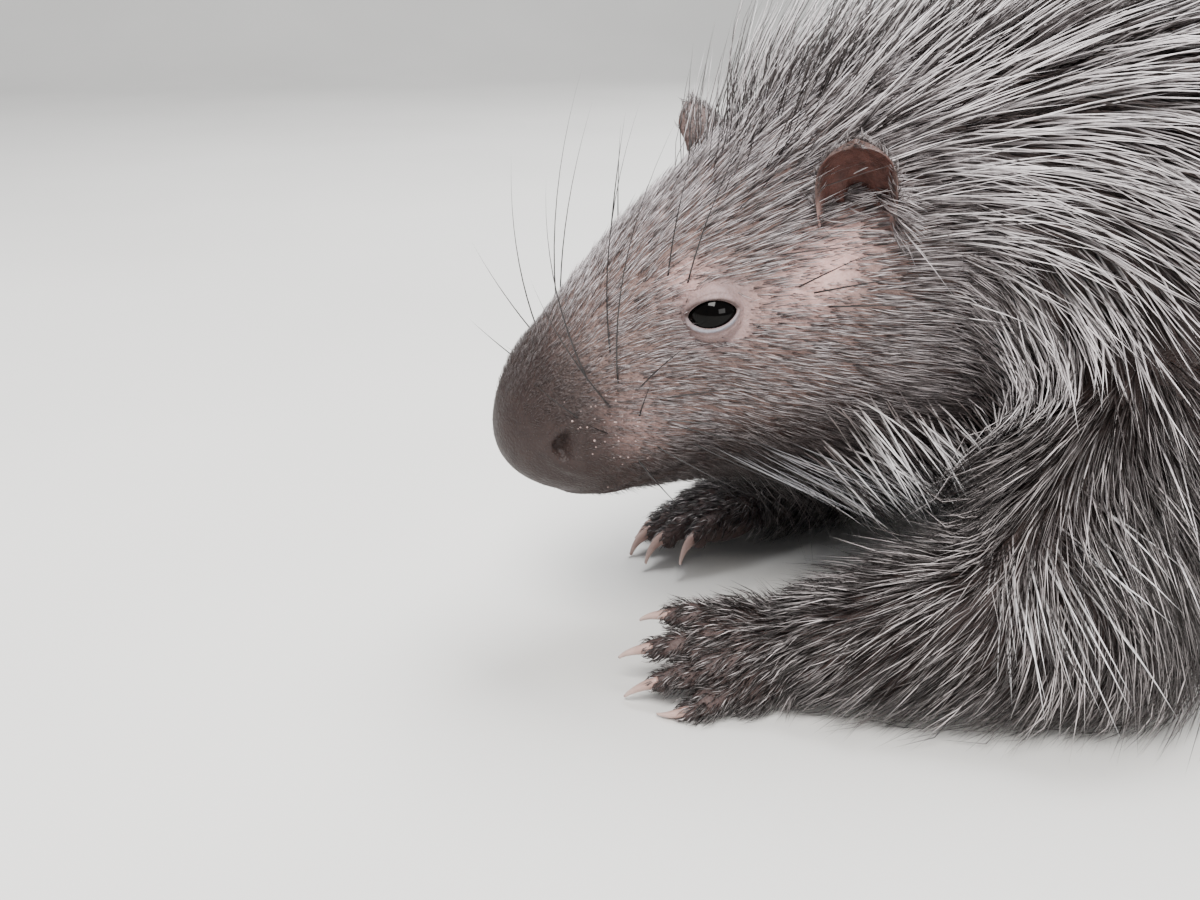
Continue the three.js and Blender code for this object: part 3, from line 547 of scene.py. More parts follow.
def face_detail(s, angle):
    """Height of the skin's own forms on the head: nostrils, mouth, lips, a cleft under the nose tip, a groove
    along the bridge and folds.
    """
    turn = np.abs(angle)
    radius = np.maximum(bluntness(s / MUZZLE_ROUND) * 0.026, 0.004)
    arc = np.radians(turn - NOSTRIL_ANGLE) * radius
    run = s - NOSTRIL_STATION
    slant = arc * 0.90 - run * 0.44
    cross = run * 0.90 + arc * 0.44
    pit = np.hypot(slant / NOSTRIL_LONG, (cross - slant**2 * 60) / NOSTRIL_WIDE)
    height = -NOSTRIL_DEEP * (1 - smooth(pit, 0.5, 1.2)) + NOSTRIL_RIM * groove(pit - 1.8, 0.65)
    mouth = np.radians(turn - mouth_angle(s)) * np.maximum(radius, 0.02)
    inside = between(s, MOUTH_FRONT - 0.003, MOUTH_FRONT + 0.002, MOUTH_CORNER, MOUTH_CORNER + 0.005)
    lips = LIP_HIGH * groove(np.abs(mouth) - 0.0034, 0.0026)
    height += inside * (-MOUTH_DEEP * groove(mouth, MOUTH_WIDE) + lips)
    cleft = np.radians(180 - turn) * radius
    height -= 0.0016 * groove(cleft, 0.0008) * (1 - smooth(s, 0.006, 0.012))
    bridge = between(s, 0.004, 0.012, 0.02, 0.03)
    height -= 0.0012 * groove(turn / 14, 1) * bridge
    eye_away = from_eye(s, turn)
    folds = np.sin((eye_away - 0.0135) / 0.0017 * math.pi) * groove(eye_away - 0.0155, 0.0035)
    height += 0.00028 * folds * smooth(turn, 60, 95)
    return height


def skin_depth(s):
    """How far the skin lies inside the solids: nothing on the bare nose, the coat's depth behind."""
    return COAT_DEPTH * smooth(s, 0.03, 0.12)


SKIN_COLUMNS = 256
EYE_HOLLOW, WRINKLE = 0.0035, 0.0008


def trunk_skin():
    """Head and trunk in one closed surface, finest on the face."""
    nose = MUZZLE_ROUND * (1 - np.cos(np.linspace(0.05, math.pi / 2, 34)))
    face = np.arange(0.025, 0.150, 0.0011)
    trunk = np.linspace(0.151, 0.590, 92)
    rump = BODY_END - RUMP_ROUND * (1 - np.cos(np.linspace(math.pi / 2, 0.08, 22)))
    stations = np.concatenate([nose, face, trunk, rump[1:]])
    angles = np.linspace(-180, 180, SKIN_COLUMNS, endpoint=False)
    s, a = np.meshgrid(stations, angles, indexing="ij")
    lift = face_detail(s, a) - skin_depth(s)
    for side in (1, -1):
        lift -= EYE_HOLLOW * (1 - smooth(from_eye(s, side * a), 0.0085, 0.0125))
    waves = np.sin(s * 520 + 1.6 * np.sin(np.radians(a) * 3))
    lift += WRINKLE * waves * between(s, 0.12, 0.15, 0.2, 0.24)
    return closed_tube(body_point(s, a, lift))


# The outline of the lids' skin, and how softly it meets the eyeball
LID_REACH, LID_SOFT = (0.0145, 0.0128), 0.0022
# Scale of the lids' edge and its height over the eyeball, then radius and depth of the wall behind it
LID_EDGE = [(1.0, 0.00055), (0.985, 0.00010), (1.02, 0.00006), (1.10, 0.00006)]
LID_WALL = [(0.0089, 0.0023), (0.0098, -0.0012), (0.0120, -0.0027)]


def lid_patch(side):
    """Both lids of an eye as one closed ring: skin outside, a rounded rim, and a wall on the eyeball."""
    middle, normal, across, up = eye_frame(side)

    def on_lid(plane, height):
        return middle + plane[:, :1] * across + plane[:, 1:] * up + height[:, None] * normal

    theta = np.linspace(0, 2 * math.pi, 96, endpoint=False)
    c, s = np.cos(theta), np.sin(theta)
    high = np.where(s > 0, EYE_HIGH * 1.04, EYE_HIGH * 0.94)
    rim = np.stack([EYE_WIDE * c, high * np.sign(s) * np.abs(s) ** 1.22], -1)
    outer = np.stack([LID_REACH[0] * c, LID_REACH[1] * s], -1)
    shares = np.concatenate([np.linspace(1, 0.3, 12), 0.3 * np.linspace(1, 0, 15)[1:] ** 1.15])
    ahead, around, _ = body_axes(np.array(EYE_STATION), np.array(EYE_ANGLE * side))
    rings = []
    for f in shares:
        plane = rim + (outer - rim) * f
        flat = plane[:, :1] * across + plane[:, 1:] * up
        ds = flat @ ahead
        da = np.degrees(flat @ around / 0.0435)
        skin = body_point(EYE_STATION + ds, EYE_ANGLE * side + da, -float(skin_depth(EYE_STATION)))
        local = skin - middle
        x, y, h = local @ across, local @ up, local @ normal
        ball = (EYE_RADIUS + LID) ** 2 - x**2 - y**2
        dome = np.sqrt(np.maximum(ball, 1e-7)) - 0.001 * np.maximum(0, -ball) / 1e-5
        wide = np.clip(0.5 + 0.5 * (dome - h) / LID_SOFT, 0, 1)
        h = h * (1 - wide) + dome * wide + LID_SOFT * wide * (1 - wide)
        upper_fold = 0.0005 * groove(f - 0.17, 0.05) * smooth(s, 0.0, 0.6)
        lower_fold = 0.0003 * groove(f - 0.2, 0.06) * smooth(-s, 0.1, 0.7)
        h = h - (upper_fold + lower_fold) + 0.0004 * groove(f - 0.05, 0.06)
        h -= 0.0007 * smooth(f, 0.9, 1.0)
        rings.append(on_lid(np.stack([x, y], -1), h))
    edge = np.stack([rim[:, 0] * 0.965, rim[:, 1] * 0.93], -1)
    for scale, reach in LID_EDGE:
        plane = edge * scale
        lift = np.sqrt(np.maximum((EYE_RADIUS + reach) ** 2 - np.sum(plane**2, 1), 1e-8))
        rings.append(on_lid(plane, lift))
    for radius, depth in LID_WALL:
        rings.append(middle + radius * circle(theta, across, up) + depth * normal)
    rings = np.array(rings)
    count, sides = rings.shape[:2]
    j = np.arange(sides)
    k = (j + 1) % sides
    last = (count - 1) * sides
    close = np.stack([last + j, last + k, k, j], -1)
    points = rings.reshape(-1, 3)
    return points, outward(points, halves(np.concatenate([tube_faces(count, sides), close])))


def ear_frame(side):
    """Root of an ear and its directions: across, up along it, and out of its hollow."""
    root = body_point(np.array(EAR_STATION), np.array(EAR_ANGLE * side), -EAR_ROOT)
    _, back, up, left, *_ = section(np.array(EAR_STATION))
    left = left * side
    rise = unit(up * 0.9 + left * 0.3 + back * 0.12)
    face = left * 0.82 - back * 0.57 - up * 0.1
    face = unit(face - rise * (face @ rise))
    across = unit(np.cross(rise, face) * side)
    return root, across, rise, face


def ear_skin(side):
    """Spoon-shaped ear with a rolled rim and two folds inside, open to the front and outside."""
    root, across, rise, face = ear_frame(side)
    full = EAR_HIGH + EAR_ROOT
    t = np.linspace(-1, 1, 24)
    inner = np.sin(t * math.pi / 2)
    rings = []
    for v in np.sin(np.linspace(0, math.pi / 2, 44)):
        half = EAR_WIDE * (0.8 + 0.2 * math.sin(math.pi * v * 0.75)) * math.sqrt(1 - v**8 * 0.985)
        hollow = -EAR_CUP * (1 - inner**2) * (1 - v**3)
        fold = 0.0035 * groove(inner + 0.35, 0.16) * groove((v - 0.42) / 0.22, 1)
        lobe = 0.0022 * groove(inner - 0.5, 0.2) * groove((v - 0.35) / 0.15, 1)
        ruffle = 0.0004 * np.sin(v * 24) * (inner**6)
        roll = 0.0011 * np.maximum(groove(np.abs(inner) - 0.96, 0.10), groove(v - 0.985, 0.05))
        wall = EAR_WALL * (1 - 0.35 * v) * np.sqrt(np.maximum(1 - inner**8, 0.06))
        place = root + (inner * half)[:, None] * across + rise * (v * full - 0.002 * inner**2 * v)[:, None]
        shape = hollow + ruffle + 0.003 * v * v
        front = place + (shape + fold + lobe + roll)[:, None] * face
        rear = place + (shape - wall)[:, None] * face
        rings.append(np.concatenate([front, rear[::-1]]))
    return closed_tube(np.array(rings))


def lid_rims(points):
    """Where skin points lie on the rims of the upper and of the lower eyelids, 0 to 1 each."""
    upper, lower = np.zeros(len(points)), np.zeros(len(points))
    for side in (1, -1):
        middle, normal, across, up = eye_frame(side)
        v = points - middle
        x, y, h = v @ across / EYE_WIDE, v @ up / EYE_HIGH, v @ normal
        rim = (h > 0) * (h < 0.012) * groove(np.hypot(x, y) - 1.02, 0.11)
        above = smooth(y, -0.15, 0.25)
        upper = np.maximum(upper, rim * above)
        lower = np.maximum(lower, rim * (1 - above) * (1 - 0.7 * smooth(np.abs(x), 0.75, 1.0)))
    return upper, lower


def ear_inside(points, normals):
    """How far places on the skin lie inside the hollow of an ear, 0 to 1."""
    inside = np.zeros(len(points))
    for side in (1, -1):
        root, across, rise, face = ear_frame(side)
        v = points - root
        x, y, h = np.abs(v @ across) / EAR_WIDE, v @ rise / (EAR_HIGH + EAR_ROOT), v @ face
        open_ = smooth(normals @ face, 0.0, 0.3) * (1 - smooth(x, 0.80, 0.93)) * (1 - smooth(y, 0.90, 0.97))
        inside = np.maximum(inside, open_ * (np.abs(h) < 0.016) * smooth(y, 0.25, 0.42))
    return inside


# Limbs, as distance fields that melt together

def cone_distance(p, a, b, ra, rb):
    line = b - a
    t = np.clip(((p - a) @ line) / (line @ line), 0, 1)
    return np.linalg.norm(p - a - t[..., None] * line, axis=-1) - mix(ra, rb, t)


def melt(a, b, reach):
    share = np.clip(0.5 + 0.5 * (b - a) / reach, 0, 1)
    return b * (1 - share) + a * share - reach * share * (1 - share)


def curve_rows(rows, steps=6):
    """Rows of points and radii with more rows between them, on a smooth curve."""
    table = np.array([(i, *row) for i, row in enumerate(rows)], float)
    t = np.linspace(0, len(rows) - 1, steps)
    return np.stack([along(table, c, t) for c in (1, 2, 3, 4)], -1)


def foot_axes(ahead, roll, side):
    a = unit(np.array([ahead[0], ahead[1] * -side, ahead[2]], float))
    turn = math.radians(roll)
    across = np.array([0, -side * math.cos(turn), math.sin(turn)])
    across = unit(across - a * (across @ a))
    up = unit(np.cross(a, across))
    return a, across, up if up[2] > 0 else -up


def digit_plan(size, at, axes):
    """Where each digit starts, its direction, length and end."""
    ahead, across, up = axes
    plans = []
    for i in range(size["digits"]):
        t = i / (size["digits"] - 1) - 0.5
        turn = 2 * t * math.radians(size["fan"])
        direction = unit(ahead * math.cos(turn) + across * math.sin(turn) - up * 0.1)
        long = size["digit_long"] * (1 - 0.9 * t * t)
        start = (at + ahead * size["half_long"] * (0.72 - 1.1 * t * t)
                 + across * 2 * t * (size["half_wide"] - size["digit_radius"]) - up * 0.001)
        plans.append(dict(start=start, direction=direction, up=up, long=long, end=start + direction * long))
    return plans


def leg_plan(which, kind):
    """Everything that a leg's skin, claws and hair are made from."""
    leg = FORELEGS[which] if kind == "fore" else HINDLEG
    side = -1 if which == "left" else 1
    flip = np.array([1, side, 1])
    size = PAW if kind == "fore" else FOOT
    rows = {part: [(x, y * side, z, r) for x, y, z, r in leg[part]] for part in ("upper", "lower")}
    at = np.array(leg["at"]) * flip
    axes = foot_axes(leg["ahead"], leg["roll"], side)
    ankle = np.array(leg.get("heel", leg["lower"][-1][:3])) * flip
    return dict(which=which, kind=kind, side=side, size=size, rows=rows, at=at, axes=axes, ankle=ankle,
                digits=digit_plan(size, at, axes))


LEGS = [leg_plan(which, kind) for kind in ("fore", "hind") for which in ("left", "right")]


VOXEL = 0.0011


def leg_skin(leg):
    """Skin of one leg down to the tips of its toes, from its distance field."""
    chains = [curve_rows(leg["rows"][part]) for part in ("upper", "lower")]
    lows = [np.min(c[:, :3] - c[:, 3:], 0) for c in chains]
    highs = [np.max(c[:, :3] + c[:, 3:], 0) for c in chains]
    ends = np.array([d["end"] for d in leg["digits"]])
    low = np.minimum(np.min(lows, 0), ends.min(0) - 0.008) - 0.004
    high = np.maximum(np.max(highs, 0), ends.max(0) + 0.008) + 0.004
    low[2] = -0.004
    counts = np.ceil((high - low) / VOXEL).astype(int)
    lines = [low[k] + np.arange(counts[k]) * VOXEL for k in range(3)]
    field = np.full(counts, 1.0)

    def pour(ends, reach, form, soft):
        """Melts a form into the field, within reach of its ends."""
        first = np.clip(((np.min(ends, 0) - reach - low) / VOXEL).astype(int), 0, counts)
        last = np.clip(((np.max(ends, 0) + reach - low) / VOXEL).astype(int) + 1, 0, counts)
        cut = tuple(slice(a, b) for a, b in zip(first, last))
        grid = np.stack(np.meshgrid(*[line[c] for line, c in zip(lines, cut)], indexing="ij"), -1)
        field[cut] = melt(field[cut], form(grid), soft)

    def pour_cone(a, b, ra, rb, reach, soft):
        pour([a, b], reach, lambda grid: cone_distance(grid, a, b, ra, rb), soft)

    for chain in chains:
        for a, b in zip(chain[:-1], chain[1:]):
            pour_cone(a[:3], b[:3], a[3] - LEG_DEPTH, b[3] - LEG_DEPTH, a[3] + 0.006, 0.004)
    size, (ahead, across, up) = leg["size"], leg["axes"]
    thick = size["half_thick"]
    pour_cone(leg["ankle"], leg["at"] + up * 0.001, thick * 1.12, thick * 0.92, thick + 0.008, 0.006)
    sizes = np.array([size["half_long"], size["half_wide"], thick]) - 0.0006

    def palm(grid):
        local = (grid - leg["at"]) @ np.stack([ahead, across, up], 1)
        k0 = np.linalg.norm(local / sizes, axis=-1)
        return k0 * (k0 - 1) / np.maximum(np.linalg.norm(local / sizes**2, axis=-1), 1e-9)

    pour([leg["at"]], size["half_long"] + 0.006, palm, 0.004)
    for digit in leg["digits"]:
        reach = [digit["start"] - digit["direction"] * 0.4 * digit["long"], digit["end"]]
        pour(reach, 0.010, lambda grid, digit=digit: digit_field(grid, digit, size), 0.0016)
    field = np.maximum(field, 0.0004 - lines[2])
    level = openvdb.FloatGrid(1.0)
    level.copyFromArray(field.astype(np.float32))
    points, quads = level.convertToQuads()
    points = low + points * VOXEL
    return points, outward(points, halves(quads))


def digit_field(grid, digit, size):
    """One toe: two knuckles on top, a rounded end that holds the claw and a pad below."""
    start, direction, up, long = digit["start"], digit["direction"], digit["up"], digit["long"]
    radius = size["digit_radius"] - 0.0004
    back = start - direction * 0.35 * long + up * 0.001
    knuckle = start + direction * 0.36 * long + up * 0.0012
    end = start + direction * 0.88 * long - up * 0.0002
    field = cone_distance(grid, back, knuckle, radius * 0.92, radius * 0.95)
    field = melt(field, cone_distance(grid, knuckle, end, radius * 0.9, radius * 0.66), 0.001)
    ball = np.linalg.norm(grid - knuckle - up * 0.0004, axis=-1) - radius * 0.98
    pad = np.linalg.norm(grid - end + up * 0.0016 + direction * 0.002, axis=-1) - radius * 0.72
    return melt(melt(field, ball, 0.0012), pad, 0.0012)


def tail_axes():
    """The tail's root and tip, and its directions back, to the side and up."""
    root, tip = np.array(TAIL_ROOT), np.array(TAIL_TIP)
    back = unit(tip - root)
    side = np.array([0, 1.0, 0])
    return root, tip, back, side, np.cross(side, back)


def tail_skin():
    root, tip, back, side, lift = tail_axes()
    long = np.linalg.norm(tip - root)
    ring = circle(np.linspace(0, 2 * math.pi, 40, endpoint=False), side, lift)
    rings = []
    for t in np.concatenate([np.linspace(-0.1, 0.9, 22), 1 + 0.12 * np.sin(np.linspace(-0.8, 1.45, 8))]):
        radius = mix(TAIL_THICK, TAIL_THIN, np.clip(t, 0, 1)) - COAT_DEPTH
        radius *= bluntness(np.array((1.13 - t) / 0.25))
        rings.append(root + back * long * t + ring * radius)
    return closed_tube(np.array(rings))


def joined_skin(parts):
    """All parts of the skin united to one closed surface."""
    pieces = [mesh_object(f"skin_part_{i}", points + SHIFT, faces) for i, (points, faces) in enumerate(parts)]
    body = pieces[0]
    for other in pieces[1:]:
        union = body.modifiers.new("union", "BOOLEAN")
        union.operation, union.solver, union.object = "UNION", "MANIFOLD", other
    depsgraph = bpy.context.evaluated_depsgraph_get()
    mesh = bpy.data.meshes.new_from_object(body.evaluated_get(depsgraph))
    for piece in pieces:
        bpy.data.objects.remove(piece)
    return add_object("skin", mesh)


def limb_clearance(points, leg, sunk=0.0):
    """How far points lie outside a leg's two lengths, and the direction down that leg there."""
    best = np.full(len(points), 1.0)
    way = np.zeros((len(points), 3))
    rows = [np.array(r) for part in ("upper", "lower") for r in leg["rows"][part]]
    rows.append(np.array([*leg["at"], leg["size"]["half_thick"]]))
    rows.append(np.array([*leg["digits"][1]["end"], leg["size"]["digit_radius"]]))
    for a, b in zip(rows[:-1], rows[1:]):
        if np.linalg.norm(b[:3] - a[:3]) < 0.008:
            continue
        clear = cone_distance(points, a[:3], b[:3], a[3] - sunk, b[3] - sunk)
        best = np.minimum(clear, best)
        way += np.exp(-np.clip(clear, -0.05, 0.3) / 0.008)[:, None] * unit(b[:3] - a[:3])
    return best, unit(way)


SMOOTHING_ROUNDS = 30


def soften_joins(skin):
    """Smooths the creases where the legs meet the body."""
    points, triangles, _ = read_mesh(skin)
    local = points - SHIFT
    lift = np.abs(body_place(local)[2] + COAT_DEPTH)
    weight = np.zeros(len(points))
    for leg in LEGS:
        clear = np.abs(limb_clearance(local, leg, LEG_DEPTH)[0])
        near = (1 - smooth(clear, 0.003, 0.009)) * (1 - smooth(lift, 0.003, 0.009))
        weight = np.maximum(weight, near * (local[:, 2] > 0.012))
    edges = np.concatenate([triangles[:, [0, 1]], triangles[:, [1, 2]], triangles[:, [2, 0]]])
    count = np.bincount(edges[:, 0], minlength=len(points)).astype(float)[:, None]
    for _ in range(SMOOTHING_ROUNDS):
        total = [np.bincount(edges[:, 0], points[edges[:, 1], k], len(points)) for k in range(3)]
        points += 0.6 * weight[:, None] * (np.stack(total, -1) / np.maximum(count, 1) - points)
    skin.data.vertices.foreach_set("co", points.astype(np.float32).ravel())
    skin.data.update()


def markings(s, angle, lift=0.0, feet=0.0):
    """Strength of the skin's colours at places of the body: brown, pink, lilac and dark."""
    turn = np.abs(angle)
    brow = spot(s, turn, 0.0665, 45, 0.010, 8)
    temple = groove(np.hypot((s - 0.101) / 0.020, (turn - 68) / 12 + (s - 0.101) / 0.045), 1)
    pad = spot(s, turn, 0.030, 90, 0.012, 17)
    pink = np.maximum(np.maximum(brow * 0.6, temple * 0.95), pad * 0.32) * smooth(s, 0.018, 0.026)
    lilac = np.maximum((1 - smooth(from_eye(s, turn), 0.009, 0.016)) * 0.42, feet * 0.22)
    ear = smooth(lift, 0.003, 0.008) * (s > 0.095) * (s < 0.15) * (turn < 110)
    dark = (1 - smooth(s, 0.020, 0.042)) * 0.95
    for other in (0.97 * smooth(s, 0.12, 0.16), 0.9 * smooth(turn, 98, 114), 0.55 * ear):
        dark = np.maximum(dark, other)
    brown = between(s, 0.012, 0.03, 0.13, 0.16) * 0.8
    pink = np.clip(pink * (1 - 0.6 * ear), 0, 1)
    return dict(brown=brown, pink=pink, lilac=np.clip(lilac, 0, 1), dark=np.clip(dark, 0, 1))


def make_skin():
    parts = [trunk_skin(), lid_patch(1), lid_patch(-1), ear_skin(1), ear_skin(-1), tail_skin()]
    parts += [leg_skin(leg) for leg in LEGS]
    skin = joined_skin(parts)
    soften_joins(skin)
    skin.data.materials.clear()
    skin.data.materials.append(skin_material())
    points, _, normals = read_mesh(skin)
    points = points - SHIFT
    s, angle, lift = body_place(points)
    set_attribute(skin, "ear", ear_inside(points, normals))
    upper_rim, lower_rim = lid_rims(points)
    set_attribute(skin, "rim", lower_rim)
    feet, limbs = np.zeros(len(points)), np.zeros(len(points))
    for leg in LEGS:
        limbs = np.maximum(limbs, 1 - smooth(limb_clearance(points, leg, LEG_DEPTH)[0], 0.002, 0.012))
        away = np.linalg.norm(points - leg["at"], axis=1)
        feet = np.maximum(feet, 1 - smooth(away, 0.026, 0.044))
    colours = markings(s, angle, lift, feet)
    colours["dark"] = np.maximum(colours["dark"], 0.92 * limbs) * (1 - 0.30 * feet)
    colours["dark"] = np.maximum(colours["dark"], 0.85 * upper_rim)
    for name, values in colours.items():
        set_attribute(skin, name, values)
    smooth_shading(skin.data)
    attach(skin, "root")
    nodes = ["head", "ear_left", "ear_right", "neck", "torso", "tail"]
    for which in ("left", "right"):
        lengths = ("upper_arm", "forearm", "forepaw", "thigh", "shank", "hind_foot")
        nodes += [f"{part}_{which}" for part in lengths]
    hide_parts(*nodes)
    return skin


CORNEA_HIGH, CORNEA_WIDE = 0.03, 0.62


def make_eyes():
    look = eye_material()
    theta = np.linspace(0.02, math.pi - 0.02, 40)
    turn = np.linspace(0, 2 * math.pi, 56, endpoint=False)
    bulge = 1 + CORNEA_HIGH * groove(theta, CORNEA_WIDE)
    radius = EYE_RADIUS * bulge * np.sin(theta)
    height = EYE_RADIUS * bulge * np.cos(theta)
    for which, side in (("left", 1), ("right", -1)):
        middle, normal, across, up = eye_frame(side)
        ring = circle(turn, across, up)
        points, faces = closed_tube(middle + radius[:, None, None] * ring + height[:, None, None] * normal)
        ball = mesh_object(f"eyeball_{which}", points + SHIFT, faces, look)
        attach(ball, "root")
        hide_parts(f"eye_{which}")


def make_claws():
    look = claw_material()
    for leg in LEGS:
        for i, digit in enumerate(leg["digits"]):
            points, faces, run = claw_form(digit)
            name = f"{leg['kind']}_claw_{leg['which']}_{i + 1}"
            claw = mesh_object(f"horn_{name}", points + SHIFT, faces, look)
            set_attribute(claw, "along", run)
            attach(claw, "root")
            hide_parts(name)


def claw_form(digit):
    """Curved tapering claw, higher than wide, with a groove along its underside."""
    direction, up = digit["direction"], digit["up"]
    side = unit(np.cross(up, direction))
    lift = np.cross(direction, side)
    start = digit["end"] - direction * 0.0022
    turn = np.linspace(0, 2 * math.pi, 18, endpoint=False)
    rings = []
    levels = np.linspace(0, 0.985, 14)
    for t in levels:
        bend = math.radians(CLAW_BEND) * t
        ahead = direction * math.cos(bend) - lift * math.sin(bend)
        high = np.cross(ahead, side)
        middle = start + ahead * t * (CLAW_LONG + 0.0016)
        radius = mix(CLAW_RADIUS, CLAW_TIP, t**0.85)
        middle[2] = max(middle[2], radius + 0.0004)
        below = 1 - 0.25 * groove(turn - 1.5 * math.pi, 0.5)
        ring = (np.cos(turn) * 0.72)[:, None] * side + (np.sin(turn) * below)[:, None] * high
        rings.append(middle + radius * ring)
    points, faces = closed_tube(np.array(rings))
    run = np.concatenate([np.repeat(levels, len(turn)), [0, 1]])
    return points, faces, run


# Coat

# How many hairs each layer has
FACE_HAIRS, BRISTLES, UNDERFUR_HAIRS, LEG_HAIRS, GUARD_HAIRS = 46000, 34000, 14000, 28000, 420
RUFF_BRISTLES, QUILLS, RATTLE_QUILLS, JAW_WHISKERS, FOLLICLES = 1150, 900, 90, 26, 80

# Lengths, radii and rise of the hairs, by station on the body
FACE_LONG = [(0.0, 0.0014), (0.02, 0.0032), (0.045, 0.0066), (0.075, 0.0105), (0.10, 0.0135), (0.13, 0.017),
             (0.16, 0.020)]
FACE_THICK = [(0.0, 0.00006), (0.04, 0.00010), (0.10, 0.00016), (0.15, 0.00021)]
FACE_RISE = [(0.0, 0.34), (0.05, 0.28), (0.15, 0.24)]
BRISTLE_LONG = [(0.05, 0.014), (0.08, 0.020), (0.11, 0.029), (0.14, 0.037), (0.18, 0.043), (0.24, 0.047),
                (0.45, 0.054), (0.68, 0.050)]
BRISTLE_THICK = [(0.05, 0.00013), (0.08, 0.00017), (0.14, 0.00027), (0.20, 0.00032)]
BRISTLE_RISE = [(0.08, 1.3), (0.15, 1.2), (0.20, 1.0), (0.50, 0.7)]
UNDERFUR_LONG = [(0.1, 0.014), (0.2, 0.024)]
UNDERFUR_THICK, UNDERFUR_RISE = 0.00048, 0.20

# Lengths of leg hair by the way ahead of the foot's middle
LEG_LONG = [(-0.070, 0.027), (-0.045, 0.022), (-0.020, 0.013), (0.005, 0.0065), (0.030, 0.0036)]
LEG_THICK, LEG_RISE = 0.00021, 0.42
GUARD_LONG, GUARD_THICK, GUARD_RISE = 0.066, 0.00022, 0.34
RUFF_LONG, RUFF_THICK = (0.030, 0.042), (0.00032, 0.00046)
# Middle and spread of the ruff's direction back, outward and up
RUFF_WAY = [(0.62, 0.12), (0.22, 0.10), (-0.66, 0.12)]
RUFF_BOW = (0.10, 0, -0.26)

# Widths along a hair, as shares of its radius
HAIR_TAPER, RUFF_TAPER = [(0, 0.8), (0.35, 1.0), (1, 0.0)], [(0, 0.7), (0.35, 1.0), (1, 0.0)]

# How much length, rise and radius vary from hair to hair, and length and rise from tuft to tuft
LONG_VARIES, RISE_VARIES, THICK_VARIES = 0.13, 0.25, 0.15
TUFT_LONG, TUFT_RISE = (0.85, 1.12), (0.8, 1.25)
DARK_THICK, PALE_THICK = 0.9, 1.15
SHORTEST, ROOT_SUNK, SHARPEST_BEND = 0.0006, 0.0006, 0.55
UV_PATCH = 0.003

# Height of hairs, quills and whiskers over the floor, at least
HAIR_FLOOR, QUILL_FLOOR, WHISKER_FLOOR = 0.0007, 0.003, 0.001

# How far the coat of head and trunk and the quills droop down the flanks, in degrees
DROOP_HEAD, DROOP_TRUNK, DROOP_QUILLS = 26.0, 46.0, 22.0


def read_off(rows, place):
    """Value at a place, on straight lines between the rows of a short table."""
    return np.interp(place, *zip(*rows))


def strands(name, paths, radii, normals, tone, uv, material, sides=3):
    """Closed tapered hairs through rows of points; the last point of each is its tip."""
    count, rings = paths.shape[0], paths.shape[1] - 1
    step = np.diff(paths, axis=1)
    ahead = unit(np.concatenate([step[:, :1], step[:, :-1] + step[:, 1:]], 1))
    across = unit(np.cross(ahead, normals[:, None, :]))
    lift = np.cross(across, ahead)
    turn = 2 * math.pi * (np.arange(sides) / sides) + math.pi / 2
    spin = (rng.uniform(0, 2 * math.pi, count)[:, None] + turn)[:, None, :, None]
    ring = np.cos(spin) * across[:, :, None, :] + np.sin(spin) * lift[:, :, None, :]
    rim = paths[:, :-1, None, :] + ring * radii[:, :-1, None, None]
    per = rings * sides + 1
    points = np.concatenate([rim.reshape(count, -1, 3), paths[:, -1:, :]], 1).reshape(-1, 3)
    j = np.arange(sides)
    end = (rings - 1) * sides
    tip = np.stack([end + j, end + (j + 1) % sides, np.full(sides, rings * sides)], -1)
    base = np.stack([np.zeros(sides - 2, int), j[2:], j[1:-1]], -1)
    one = np.concatenate([halves(tube_faces(rings, sides)), tip, base])
    faces = (one[None] + np.arange(count)[:, None, None] * per).reshape(-1, 3)
    piece = mesh_object(name, points + SHIFT, faces, material)
    share = np.concatenate([np.repeat(np.arange(rings) / rings, sides), [1.0]])
    set_attribute(piece, "along", np.tile(share, count))
    set_attribute(piece, "pale", np.repeat(tone, per))
    spread = np.concatenate([np.tile(j / sides, rings), [0.5]])
    corner = np.stack([share, spread], -1) * UV_PATCH
    places = (uv[:, None, :] + corner[None]).reshape(-1, 2)
    layer = piece.data.uv_layers.new(name="OFBake")
    layer.data.foreach_set("uv", places[faces.ravel()].astype(np.float32).ravel())
    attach(piece, "root")
    return piece


